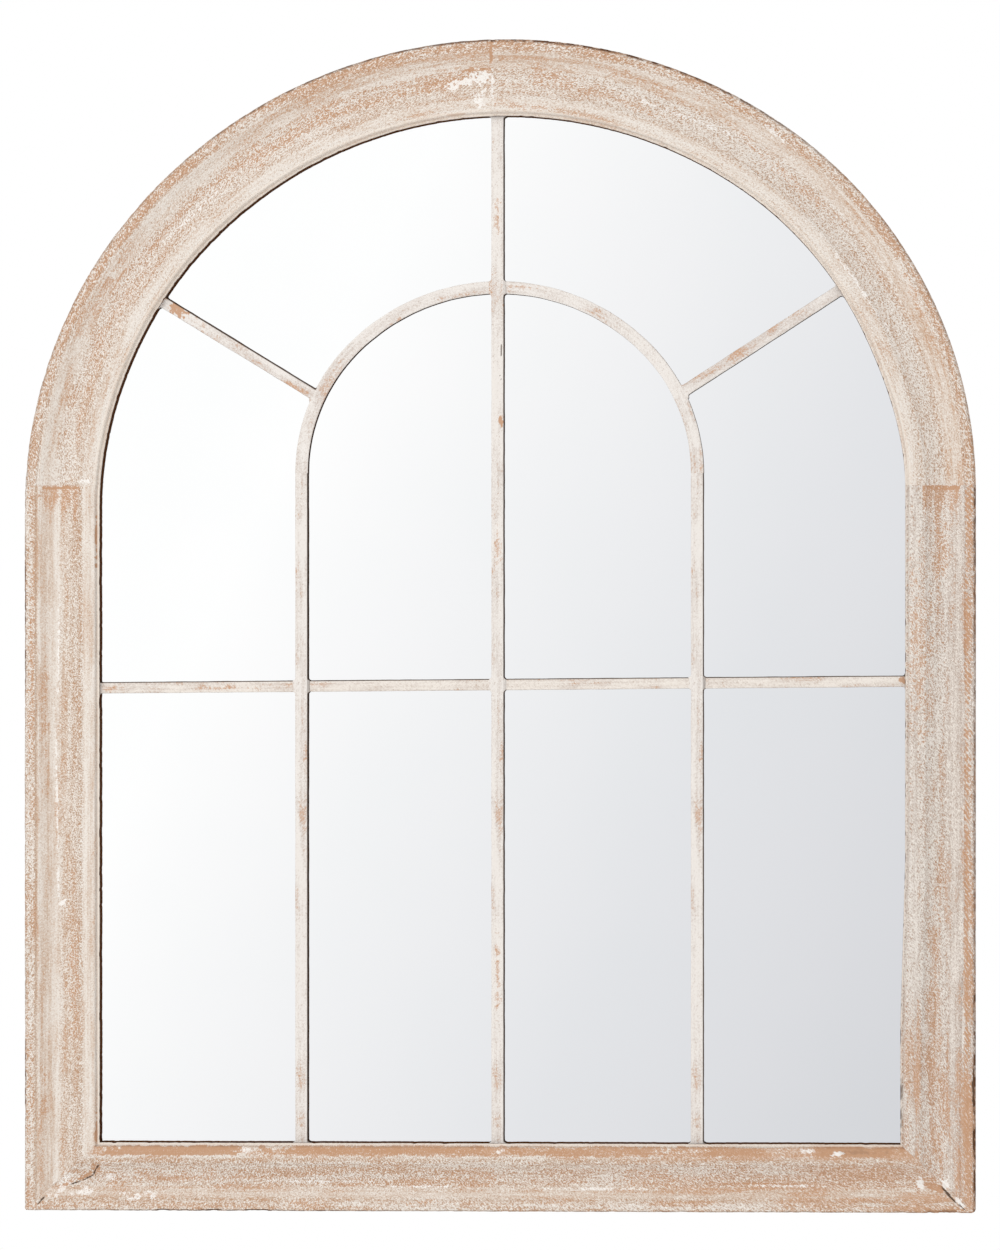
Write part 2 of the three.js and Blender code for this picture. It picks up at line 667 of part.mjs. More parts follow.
// A strap along -X from the loop that holds the ring, folded from sheet and flat on the frame.
function strapGeometry() {
  const top = SEAT_GAP + STRAP_THICKNESS;
  const meet = Math.asin((top - LOOP_CENTRE_Y) / LOOP_RADIUS);
  const shape = new THREE.Shape();
  shape.moveTo(-STRAP_LENGTH, SEAT_GAP);
  shape.lineTo(0, SEAT_GAP);
  shape.absarc(0, LOOP_CENTRE_Y, LOOP_RADIUS, -Math.PI / 2, Math.PI - meet);
  shape.lineTo(-STRAP_LENGTH, top);
  const bore = new THREE.Path();
  bore.absarc(0, LOOP_CENTRE_Y, RING_WIRE / 2 + FIT_GAP, 0, 2 * Math.PI);
  shape.holes.push(bore);
  const strip = new THREE.ExtrudeGeometry(shape, {
    depth: STRAP_WIDTH,
    bevelEnabled: false,
    curveSegments: ROUND_SIDES / 2,
  });
  strip.translate(0, 0, -STRAP_WIDTH / 2);
  const holes = Object.values(STRAP_HOLES).map((reach) => (
    drill(new THREE.Vector2(reach - STRAP_LENGTH, 0), 0, top + SEAT_GAP)
  ));
  return geometryOf(solid(strip).subtract(joinAll(holes)));
}

// The ring's wire: a straight bar on the Z axis, two short arms and a round end along +X.
function ringGeometry() {
  const half = RING_WIDTH / 2;
  const cornerHeight = half - RING_CORNER;
  const quarter = Math.PI / 2;
  const bow = arcStations(new THREE.Vector2(RING_ARM, 0), half, -quarter, quarter, WIRE_STEP);
  const corners = [1, -1].flatMap((way, index) => {
    const centre = new THREE.Vector2(RING_CORNER, way * cornerHeight);
    return arcStations(centre, RING_CORNER, quarter * (index + 1), quarter * (index + 2), WIRE_STEP);
  });
  const wire = Array.from({ length: WIRE_SIDES }, (_, index) => {
    const angle = (2 * Math.PI * index) / WIRE_SIDES;
    return [(RING_WIRE / 2) * Math.cos(angle), (RING_WIRE / 2) * Math.sin(angle) - LOOP_CENTRE_Y];
  });
  return sweep([...bow, ...corners], () => wire, true);
}

// A turned rubber pad with a rounded rim.
function padGeometry() {
  const radius = PAD_DIAMETER / 2;
  const top = SEAT_GAP + PAD_THICKNESS;
  const profile = [
    [0, SEAT_GAP],
    [radius, SEAT_GAP],
    [radius, top - PAD_ROUNDING],
    [radius - PAD_ROUNDING, top],
    [0, top],
  ].map(([reach, y]) => new THREE.Vector2(reach, y));
  return new THREE.LatheGeometry(profile, ROUND_SIDES);
}

// One clearance hole in the frame for every screw.
const screwSites = [...buttonSites.map(({ pivot }) => pivot), ...hangers.left.holes, ...hangers.right.holes];
const pilotHoles = joinAll(screwSites.map((site) => drill(site, -SCREW_LENGTH, SEAT_GAP)));

// ---------------------------------------------------------------- assembly

const mirror = new THREE.Group();
mirror.position.y = FRAME_DEPTH / 2;

function addMesh(parent, name, geometry, finish) {
  const mesh = new THREE.Mesh(geometry, finish);
  mesh.name = name;
  parent.add(mesh);
  return mesh;
}

const addSolid = (name, body, finish) => addMesh(mirror, name, geometryOf(body), finish);

// Cuts the bores of a piece's own joints, the bar housings and the screw holes, and adds the piece.
function addFramePiece(name, body, ...jointNames) {
  const bores = jointNames.flatMap((joint) => joints[joint].map(({ bore }) => bore));
  addSolid(name, body.subtract(joinAll(bores)).subtract(housings).subtract(pilotHoles), frameWood);
}

const leftStile = leftHalf.intersect(belowJoint).intersect(leftMitre.stileSide);
const rightStile = rightHalf.intersect(belowJoint).intersect(rightMitre.stileSide);
const leftArch = leftHalf.intersect(aboveJoint).intersect(leftOfSeam);
const rightArch = rightHalf.intersect(aboveJoint).intersect(rightOfSeam);
addFramePiece('stile_left', leftStile, 'springing_left', 'mitre_left');
addFramePiece('stile_right', rightStile, 'springing_right', 'mitre_right');
addFramePiece('arch_left', leftArch, 'springing_left', 'crown');
addFramePiece('arch_right', rightArch, 'springing_right', 'crown');
addFramePiece('bottom_rail', railBody(), 'mitre_left', 'mitre_right');

Object.entries(joints).forEach(([joint, pair]) => {
  pair.forEach(({ place, dowel }) => addSolid(`dowel_${joint}_${place}`, dowel, dowelWood));
});

addMesh(mirror, 'mirror_glass', glassPlate, silveredGlass);
addMesh(mirror, 'backing_board', boardPlate, boardWood);

addSolid('bar_centre', centreBar(), barPaint);
addSolid('bar_cross', crossBar(), barPaint);
addSolid('bar_leg_left', legBar('left'), barPaint);
addSolid('bar_leg_right', legBar('right'), barPaint);
addSolid('bar_inner_arch', innerArchBar(), barPaint);
addSolid('bar_diagonal_left', diagonalBar('left'), barPaint);
addSolid('bar_diagonal_right', diagonalBar('right'), barPaint);

buttonSites.forEach(({ name, pivot, across }) => {
  const button = addMesh(mirror, `turn_button_${name}`, buttonGeometry(), platedSteel);
  button.position.set(pivot.x, 0, pivot.y);
  button.rotation.y = -Math.atan2(across.y, across.x);
  const screw = addMesh(mirror, `turn_button_screw_${name}`, screwGeometry(), platedSteel);
  screw.position.set(pivot.x, SEAT_GAP + BUTTON_THICKNESS + SEAT_GAP, pivot.y);
});

Object.entries(hangers).forEach(([name, { side, loop }]) => {
  const hanger = new THREE.Group();
  hanger.position.set(loop.x, 0, loop.y);
  hanger.rotation.y = side < 0 ? 0 : Math.PI;
  addMesh(hanger, `hanger_strap_${name}`, strapGeometry(), platedSteel);
  addMesh(hanger, `hanger_ring_${name}`, ringGeometry(), platedSteel);
  Object.entries(STRAP_HOLES).forEach(([place, reach]) => {
    const screw = addMesh(hanger, `hanger_screw_${name}_${place}`, screwGeometry(), platedSteel);
    screw.position.set(reach - STRAP_LENGTH, SEAT_GAP + STRAP_THICKNESS + SEAT_GAP, 0);
  });
  mirror.add(hanger);
});

[['left', -1], ['right', 1]].forEach(([name, side]) => {
  const pad = addMesh(mirror, `wall_pad_${name}`, padGeometry(), padRubber);
  pad.position.set(side * (HALF_WIDTH - PAD_INSET), 0, PAD_HEIGHT);
});

const root = new THREE.Group();
root.add(mirror);

export default root;
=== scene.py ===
# %% [markdown]
# # An arched window mirror, dressed for its photograph
# The real mirror hangs on a wall: five lengths of moulded wood make the frame, seven slim bars divide the
# glass like a window, and a board, turn buttons and two strap hangers are at the back. The measured solids
# come first and stay where they are, so every surface below is worked out in the same frame: X to the right,
# Y away from the viewer, Z up, with the middle of the frame's underside at the origin.

import math

import bpy
import numpy as np
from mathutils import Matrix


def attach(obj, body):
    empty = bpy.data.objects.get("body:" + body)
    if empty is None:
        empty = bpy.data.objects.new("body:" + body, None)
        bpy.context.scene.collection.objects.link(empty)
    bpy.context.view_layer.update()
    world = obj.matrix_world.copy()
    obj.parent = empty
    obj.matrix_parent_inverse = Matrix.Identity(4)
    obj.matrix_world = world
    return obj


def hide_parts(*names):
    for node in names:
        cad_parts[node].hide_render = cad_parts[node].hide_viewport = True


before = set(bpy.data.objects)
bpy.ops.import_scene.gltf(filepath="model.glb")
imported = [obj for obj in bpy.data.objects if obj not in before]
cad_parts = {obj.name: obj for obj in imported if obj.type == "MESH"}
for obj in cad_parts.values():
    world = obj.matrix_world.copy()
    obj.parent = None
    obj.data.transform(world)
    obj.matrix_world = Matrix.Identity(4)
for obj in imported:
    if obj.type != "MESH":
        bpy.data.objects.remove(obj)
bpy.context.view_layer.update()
MM = 0.001

# %% [markdown]
# ## Camera
# The photograph was taken from far away and a little to the right, because the inner side of the left stile
# shows as a dark line and the right one hides its own. A long lens about seven and a half metres off gives
# that view with no shift.

# %% Camera
CAMERA_PLACE = (0.3367, -7.575, 0.531)
CAMERA_AIM = (0.0007, -0.015, 0.4931)
LONG_SIDE_PIXELS = 1250
FOCAL_PIXELS = 9009
SENSOR = 36

camera = bpy.data.objects.new("camera", bpy.data.cameras.new("camera"))
bpy.context.scene.collection.objects.link(camera)
camera.data.sensor_width = SENSOR
camera.data.lens = SENSOR * FOCAL_PIXELS / LONG_SIDE_PIXELS
camera.data.clip_end = 100
camera.location = CAMERA_PLACE
sight_line = camera.location.copy()
sight_line.xyz = [aim - place for aim, place in zip(CAMERA_AIM, CAMERA_PLACE)]
camera.rotation_euler = sight_line.to_track_quat("-Z", "Y").to_euler()
bpy.context.scene.camera = camera
bpy.context.scene.view_settings.view_transform = "Standard"
print("lens:", round(camera.data.lens, 1), "mm")

# %% [markdown]
# ## Helpers for shaders
# Every finish below is wired by code, so three small helpers keep that short: one adds a node with its inputs,
# one does a sum, one blends two colours. Colours are written as they look on a screen, 0 to 255, and turned
# into the linear numbers that a shader works with.


# %% Shader helpers
def put(tree, kind, sockets=None, **settings):
    """Adds one node. settings are its own choices; sockets fills its inputs: a number is set, an output linked."""
    made = tree.nodes.new("ShaderNode" + kind)
    for key, value in settings.items():
        setattr(made, key, value)
    for key, value in (sockets or {}).items():
        if isinstance(value, bpy.types.NodeSocket):
            tree.links.new(value, made.inputs[key])
        else:
            made.inputs[key].default_value = value
    return made


def work(tree, operation, *values, clamp=False):
    """One sum on numbers: the named operation of the values, kept from 0 to 1 where clamp is true."""
    made = put(tree, "Math", dict(enumerate(values)), operation=operation, use_clamp=clamp)
    return made.outputs[0]


def mix_colour(tree, amount, start, end):
    """start where amount is 0, end where it is 1."""
    return put(tree, "Mix", {0: amount, 6: start, 7: end}, data_type="RGBA").outputs[2]


def ease(tree, value, low, high, start=0.0, end=1.0):
    """start below low, end above high, and a smooth slope between the two."""
    sockets = {"Value": value, "From Min": low, "From Max": high, "To Min": start, "To Max": end}
    return put(tree, "MapRange", sockets, interpolation_type="SMOOTHSTEP").outputs[0]


def paint(red, green, blue):
    """A screen colour, 0 to 255, as linear light with full cover."""
    shown = np.array([red, green, blue]) / 255
    return (*np.where(shown > 0.04045, ((shown + 0.055) / 1.055) ** 2.4, shown / 12.92), 1.0)


print("cream in linear light:", [round(float(v), 3) for v in paint(232, 221, 208)])

# %% [markdown]
# ## Light
# The real room is white. The eye sees plain white behind the mirror, and so do glass and metal, but the mirror
# itself shows a room that fades from white at the upper left to a cool grey at the lower right. So the world
# is white for the eye, has that slow fade for reflections, and gives a slightly weaker even light to surfaces.
# One wide lamp at the upper left shapes the moulding and a weaker one does the same for the back.

# %% World
ROOM_LIGHT = 0.82
ROOM_WHITE = paint(255, 255, 255)
ROOM_GREY = paint(228, 229, 232)
ROOM_DARK = paint(213, 214, 218)
FADE_SIDEWAYS = 9.02
FADE_UPWARDS = -4.24
FADE_MIDDLE = 1.173
FADE_RANGE = 2.0
FLATTEST_DEPTH = 0.15
WHITE_UNTIL, GREY_AT, DARK_AT = 0.25, 0.53, 0.72

world = bpy.data.worlds.new("white_room")
bpy.context.scene.world = world
world.use_nodes = True
sky = world.node_tree
sky.nodes.clear()
way = put(sky, "TexCoord").outputs["Generated"]
towards = put(sky, "SeparateXYZ", {0: way})
depth = work(sky, "MAXIMUM", work(sky, "ABSOLUTE", towards.outputs["Y"]), FLATTEST_DEPTH)
sideways = work(sky, "MULTIPLY", work(sky, "DIVIDE", towards.outputs["X"], depth), FADE_SIDEWAYS)
upwards = work(sky, "MULTIPLY", work(sky, "DIVIDE", towards.outputs["Z"], depth), FADE_UPWARDS)
fade = work(sky, "ADD", work(sky, "ADD", sideways, upwards), FADE_MIDDLE)
ramp = put(sky, "ValToRGB", {0: work(sky, "DIVIDE", fade, FADE_RANGE, clamp=True)})
stops = ramp.color_ramp.elements
stops[0].position, stops[0].color = WHITE_UNTIL, ROOM_WHITE
stops[1].position, stops[1].color = GREY_AT, ROOM_GREY
last_stop = stops.new(DARK_AT)
last_stop.color = ROOM_DARK
ray = put(sky, "LightPath")
seen = work(sky, "MAXIMUM", ray.outputs["Is Camera Ray"], ray.outputs["Is Transmission Ray"])
even_light = (ROOM_LIGHT, ROOM_LIGHT, ROOM_LIGHT, 1)
tone = mix_colour(sky, ray.outputs["Is Glossy Ray"], even_light, ramp.outputs[0])
tone = mix_colour(sky, seen, tone, (1, 1, 1, 1))
background = put(sky, "Background", {"Color": tone, "Strength": 1.0})
put(sky, "OutputWorld", {"Surface": background.outputs[0]})
print("room light:", ROOM_LIGHT)

# %% [markdown]
# ## Lamps and floor
# A lamp's power spreads over the square of its distance, so wide lamps a few metres off give an even, soft
# light. They are left out of reflections, so that the mirror shows the room alone. The floor lies a metre
# below, because the mirror hangs on a wall: it closes the room from underneath and catches a soft shadow.


# %% Lamps and floor
def soft_lamp(name, place, aim, size, power):
    """A square lamp at place, turned so that it shines at aim."""
    lamp = bpy.data.objects.new(name, bpy.data.lights.new(name, "AREA"))
    bpy.context.scene.collection.objects.link(lamp)
    lamp.data.shape = "SQUARE"
    lamp.data.size = size
    lamp.data.energy = power
    lamp.location = place
    turn = lamp.location.copy()
    turn.xyz = [b - a for a, b in zip(place, aim)]
    lamp.rotation_euler = turn.to_track_quat("-Z", "Y").to_euler()
    lamp.visible_glossy = False
    lamp.visible_camera = False
    return lamp


MIDDLE = (0, 0, 0.5)
LAMP_SIZE = 2.0
KEY_PLACE, KEY_POWER = (-2.2, -3.4, 2.6), 62
BACK_PLACE, BACK_POWER = (2.0, 3.2, 2.4), 50
key_lamp = soft_lamp("key_lamp", KEY_PLACE, MIDDLE, LAMP_SIZE, KEY_POWER)
back_lamp = soft_lamp("back_lamp", BACK_PLACE, MIDDLE, LAMP_SIZE, BACK_POWER)

FLOOR_HEIGHT = -1.0
FLOOR_REACH = 2.5
floor_mesh = bpy.data.meshes.new("pale_floor")
corners = [(-1, -1), (1, -1), (1, 1), (-1, 1)]
floor_points = [(x * FLOOR_REACH, y * FLOOR_REACH, FLOOR_HEIGHT) for x, y in corners]
floor_mesh.from_pydata(floor_points, [], [(0, 1, 2, 3)])
floor = bpy.data.objects.new("pale_floor", floor_mesh)
bpy.context.scene.collection.objects.link(floor)
floor_finish = bpy.data.materials.new("pale_floor")
floor_finish.use_nodes = True
floor_shader = floor_finish.node_tree.nodes["Principled BSDF"]
floor_shader.inputs["Base Color"].default_value = paint(246, 246, 246)
floor_shader.inputs["Roughness"].default_value = 0.9
floor_mesh.materials.append(floor_finish)
print("lamps:", key_lamp.data.energy, back_lamp.data.energy, "W")

# %% [markdown]
# ## Helpers for surfaces
# Each piece below is a grid of points: rows along the piece, columns around its section. The grid is worked out
# as one whole array, and this helper joins neighbours into four-sided faces, closes the two ends, makes sure
# that the faces look outwards, and stores numbers on the points for the finishes to read.


# %% Surface helpers
NET_SIZE = 251


def shown_volume(points, faces):
    """The signed volume inside four-sided faces: each is split in two, and each half is a cone to the origin."""
    a, b, c, d = (points[faces[:, k]] for k in range(4))
    halves = np.einsum("ij,ij->i", a, np.cross(b, c)) + np.einsum("ij,ij->i", a, np.cross(c, d))
    return halves.sum() / 6


def grid_piece(name, grid, body, finish, replaced=(), ring=False, sharp=35, stored=None):
    """
    Joins grid[row, column] = (x, y, z) in millimetres into one closed skin. Columns always meet themselves
    round the section. Rows meet themselves where ring is true, and otherwise each end gets one flat face.
    """
    rows, columns = grid.shape[:2]
    points = grid.reshape(-1, 3) * MM
    links = rows if ring else rows - 1
    row, column = np.meshgrid(np.arange(links), np.arange(columns), indexing="ij")
    after, beside = (row + 1) % rows, (column + 1) % columns
    this_row, next_row = row * columns, after * columns
    corner_list = [this_row + column, this_row + beside, next_row + beside, next_row + column]
    faces = np.stack(corner_list, axis=-1).reshape(-1, 4)
    middle = points.mean(axis=0)
    caps = [] if ring else [np.arange(columns)[::-1], (rows - 1) * columns + np.arange(columns)]
    if shown_volume(points - middle, faces) < 0:
        faces = faces[:, ::-1]
        caps = [cap[::-1] for cap in caps]
    corners = np.concatenate([faces.ravel(), *caps]).astype(np.int32)
    sizes = np.array([4] * len(faces) + [columns] * len(caps))
    starts = np.concatenate([[0], np.cumsum(sizes)[:-1]]).astype(np.int32)
    mesh = bpy.data.meshes.new(name)
    mesh.vertices.add(len(points))
    mesh.vertices.foreach_set("co", points.astype(np.float32).ravel())
    mesh.loops.add(len(corners))
    mesh.loops.foreach_set("vertex_index", corners)
    mesh.polygons.add(len(sizes))
    mesh.polygons.foreach_set("loop_start", starts)
    mesh.update(calc_edges=True)
    mesh.validate()
    mesh.polygons.foreach_set("use_smooth", np.ones(len(mesh.polygons), bool))
    mesh.set_sharp_from_angle(angle=math.radians(sharp))
    for key, values in (stored or {}).items():
        flat = np.asarray(values, np.float32).reshape(len(points), -1)
        kind, field = ("FLOAT_VECTOR", "vector") if flat.shape[1] == 3 else ("FLOAT", "value")
        mesh.attributes.new(key, kind, "POINT").data.foreach_set(field, flat.ravel())
    mesh.materials.append(finish)
    piece = bpy.data.objects.new(name, mesh)
    bpy.context.scene.collection.objects.link(piece)
    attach(piece, body)
    if replaced:
        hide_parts(*replaced)
    return piece


def cloud(along, across, cells, seed):
    """
    Smooth blotches from -1 to 1: a seeded random height at every crossing of a net whose cells measure
    cells = (along, across), and between them an eased blend of the four crossings around the point.
    """
    net = np.random.default_rng(seed).uniform(-1, 1, (NET_SIZE, NET_SIZE))
    a, b = along / cells[0], across / cells[1]
    i, j = np.floor(a).astype(int), np.floor(b).astype(int)
    u, v = a - i, b - j
    u, v = u * u * (3 - 2 * u), v * v * (3 - 2 * v)
    crossing = {(p, q): net[(i + p) % NET_SIZE, (j + q) % NET_SIZE] for p in (0, 1) for q in (0, 1)}
    near = crossing[0, 0] * (1 - u) + crossing[1, 0] * u
    far = crossing[0, 1] * (1 - u) + crossing[1, 1] * u
    return near * (1 - v) + far * v


def smooth_step(value, low, high):
    """0 below low, 1 above high, and an eased slope between."""
    t = np.clip((value - low) / (high - low), 0, 1)
    return t * t * (3 - 2 * t)


print("helpers ready")

# %% [markdown]
# ## The moulding's section
# A moulding cutter leaves one section all along the wood: a flat outer band, a V-shaped quirk, a wide cove, a
# raised band, and a lip that holds the glass. The outer parts keep their distance from the outer edge and the
# inner parts keep theirs from the sight edge, so only the cove stretches where the face is wider. Sizes are in
# millimetres, up from the back and inwards from the outer edge.

# %% Moulding sizes
DEPTH = 30.0
BAND = 8.0
EDGE = 1.2
QUIRK_WIDTH = 2.0
QUIRK_DEPTH = 1.0
QUIRK_INNER_HEIGHT = 29.4
SHOULDER = 1.5
COVE_START_HEIGHT = 28.8
COVE_END_HEIGHT = 27.2
COVE_DEPTH = 5.6
RAISED_WIDTH = 13.6
RAISED_HEIGHT = 28.4
RAISED_CROWN = 0.5
LIP_WIDTH = 2.8
LIP_HEIGHT = 25.0
LIP_ROUND = 2.0
LIP_EASE = 0.6
REBATE_WIDTH = 8.0
REBATE_DEPTH = 11.0
COMMON_FACE = 62.2


def moulding_section(face, band, quirk=QUIRK_DEPTH):
    """
    The closed outline of the moulding for each row's face width, band width and quirk depth, as two arrays
    (rows, columns): inwards from the outer edge, and up from the back. Each run is a straight line with a
    sine bow added.
    """
    runs = []

    def run(u0, u1, w0, w1, count, bow=0.0):
        t = np.arange(count) / count
        runs.append((u0 + (u1 - u0) * t, zero + w0 + (w1 - w0) * t + bow * np.sin(np.pi * t)))

    zero = np.zeros_like(face)
    cove_start = band + QUIRK_WIDTH + SHOULDER
    cove_end = face - LIP_WIDTH - RAISED_WIDTH - QUIRK_WIDTH
    lip = face - LIP_WIDTH
    run(zero, zero, 0.0, DEPTH - EDGE, 12)
    run(zero, zero + EDGE, DEPTH - EDGE, DEPTH, 3, 0.2)
    run(zero + EDGE, band, DEPTH, DEPTH, 11)
    run(band, band + QUIRK_WIDTH / 2, DEPTH, DEPTH - quirk, 3)
    run(band + QUIRK_WIDTH / 2, band + QUIRK_WIDTH, DEPTH - quirk, QUIRK_INNER_HEIGHT, 3)
    run(band + QUIRK_WIDTH, cove_start, QUIRK_INNER_HEIGHT, COVE_START_HEIGHT, 3)
    run(cove_start, cove_end, COVE_START_HEIGHT, COVE_END_HEIGHT, 34, -COVE_DEPTH)
    run(cove_end, cove_end + EDGE, COVE_END_HEIGHT, RAISED_HEIGHT, 2)
    run(cove_end + EDGE, lip - EDGE, RAISED_HEIGHT, RAISED_HEIGHT, 13, RAISED_CROWN)
    run(lip - EDGE, lip, RAISED_HEIGHT, RAISED_HEIGHT - LIP_ROUND, 3, 0.25)
    run(lip, lip + LIP_EASE, RAISED_HEIGHT - LIP_ROUND, LIP_HEIGHT, 3, -0.2)
    run(lip + LIP_EASE, face - LIP_EASE, LIP_HEIGHT, LIP_HEIGHT, 3)
    run(face - LIP_EASE, face, LIP_HEIGHT, LIP_HEIGHT - EDGE, 2, 0.1)
    run(face, face, LIP_HEIGHT - EDGE, REBATE_DEPTH, 8)
    run(face, face - REBATE_WIDTH, REBATE_DEPTH, REBATE_DEPTH, 3)
    run(face - REBATE_WIDTH, face - REBATE_WIDTH, REBATE_DEPTH, 0.0, 5)
    run(face - REBATE_WIDTH, zero, 0.0, 0.0, 9)
    return (np.concatenate([r[k] for r in runs], axis=1) for k in (0, 1))


section_u, _ = moulding_section(np.array([[COMMON_FACE]]), np.array([[BAND]]))
print("section columns:", section_u.shape[1])

# %% [markdown]
# ## Where the frame runs
# The outer edge of the frame is two upright sides under an arch drawn from three centres. The joiner sawed each
# half by eye, so the left and right haunches have their own radius. Each piece of wood is cut at a plane: the
# mitres at the foot, the level joints at the springing, and the seam near the crown.

# %% Lines of the frame
HALF_WIDTH = 400.0
LEFT_FACE, RIGHT_FACE, RAIL_FACE, ARCH_FACE = 62.9, 59.2, 57.1, 64.3
FILLED_QUIRK = 0.35
RAIL_QUIRK = 0.7
FOOT_SPREAD, SPREAD_TOP, SPREAD_FULL = 4.0, 265.0, 110.0
JOINT_HEIGHT = 610.5
SEAM_X = -7.0
GLUE = -0.03
FOOT_EASE = math.radians(24)
CROWN = (5.4749, 572.6852, 412.4526)
BAND_AT_FOOT = {-1: BAND + 0.9, 1: BAND}
HAUNCH = {-1: (-15.6, 591.2, 384.4, math.radians(41.3)), 1: (27.3, 605.9108, 372.7, math.radians(56.7))}
FACE_AT_FOOT = {-1: LEFT_FACE, 1: RIGHT_FACE}
FOOT_ROUNDING = {-1: 2.6, 1: 4.2}


def face_at(side, angle):
    """The face width: the stile's at the foot of the arch, then easing to the arch's own over 24 degrees."""
    t = np.clip(angle / FOOT_EASE, 0, 1)
    return FACE_AT_FOOT[side] + (ARCH_FACE - FACE_AT_FOOT[side]) * t * t * (3 - 2 * t)


def band_at(side, angle):
    """The outer band's width and its quirk's depth: up the arch the band narrows and paint fills the quirk."""
    t = np.clip(angle / FOOT_EASE, 0, 1)
    share = t * t * (3 - 2 * t)
    band = BAND_AT_FOOT[side] + (BAND - BAND_AT_FOOT[side]) * share
    return band, QUIRK_DEPTH + (FILLED_QUIRK - QUIRK_DEPTH) * share


def stile_lines(side, rows):
    """
    A stile: each column runs up from its own mitre height to the joint. Below the haunch it is upright;
    above, it follows the haunch's circle, made smaller by the distance in from the edge.
    """
    _, centre_z, radius, _ = HAUNCH[side]
    t = np.linspace(0, 1, rows)[:, None]
    height = t * JOINT_HEIGHT
    spread = FOOT_SPREAD * np.clip((SPREAD_TOP - height) / (SPREAD_TOP - SPREAD_FULL), 0, 1) * (side > 0)
    start_angle = np.arcsin(np.clip((height - centre_z) / radius, 0, 1))
    face = face_at(side, start_angle) + spread
    band, quirk = band_at(side, start_angle)
    u, w = moulding_section(face, band + spread, quirk)
    foot_face = FACE_AT_FOOT[side] + FOOT_SPREAD * (side > 0)

    def place(inwards):
        low = inwards * RAIL_FACE / foot_face + 2 * GLUE * (inwards > 0)
        z = low + (JOINT_HEIGHT - GLUE - low) * t
        reach = radius - inwards
        curved = np.sqrt(np.maximum(reach**2 - np.maximum(z - centre_z, 0) ** 2, 0)) - radius
        return side * (HALF_WIDTH + curved), z

    return u, w, face, height + 0 * u, place


def arch_lines(side, rows):
    """
    Half of the arch: each column starts on the level joint and ends on the crown seam, and runs round the
    haunch's centre and then round the crown's, at its own distance in from the edge.
    """
    centre_x, centre_z, radius, turn = HAUNCH[side]
    crown_x, crown_z, crown_radius = CROWN
    t = np.linspace(0, 1, rows)[:, None]
    sweep_end = math.acos(side * (SEAM_X - crown_x) / crown_radius)
    angle = t * sweep_end
    face = face_at(side, angle)
    u, w = moulding_section(face, *band_at(side, angle))

    def place(inwards):
        first = np.arcsin((JOINT_HEIGHT + GLUE - centre_z) / (radius - inwards))
        last = np.arccos(side * (SEAM_X + side * GLUE - crown_x) / (crown_radius - inwards))
        a = first + (last - first) * t
        on_crown = a > turn
        x0, z0 = np.where(on_crown, crown_x, centre_x), np.where(on_crown, crown_z, centre_z)
        reach = np.where(on_crown, crown_radius, radius) - inwards
        return x0 + side * reach * np.cos(a), z0 + reach * np.sin(a)

    return u, w, face, angle * radius + 0 * u, place


def rail_lines(rows):
    """The bottom rail: each column runs between the two mitres at its own height above the lower edge."""
    t = np.linspace(0, 1, rows)[:, None]
    face = RAIL_FACE + 0 * t
    u, w = moulding_section(face, BAND + 0 * t, RAIL_QUIRK)

    def place(inwards):
        left = -HALF_WIDTH + inwards * LEFT_FACE / RAIL_FACE + 2 * GLUE * (inwards > 0)
        right = HALF_WIDTH - inwards * (RIGHT_FACE + FOOT_SPREAD) / RAIL_FACE - 2 * GLUE * (inwards > 0)
        return left + (right - left) * t, inwards + 0 * t

    return u, w, face, (2 * t - 1) * HALF_WIDTH + 0 * u, place


print("crown seam angle:", round(math.degrees(math.acos((SEAM_X - CROWN[0]) / CROWN[2])), 2))

# %% [markdown]
# ## Wear on the frame
# The real frame was limewashed and rubbed back. Its edges are soft and nicked, the wash lies in small grains,
# the joints hold white filler, and bare wood shows in patches. What has a shape is moved in the mesh, a few
# tenths of a millimetre at most; where wood is bare, filled or cracked is stored as a mask for the finish.
# Each mark is an oval or a strip: its kind, its middle in X and Z, its half length and half width, and its turn
# in degrees. A strip is what a scraper leaves, so its outline is squarer than that of a rubbed patch.

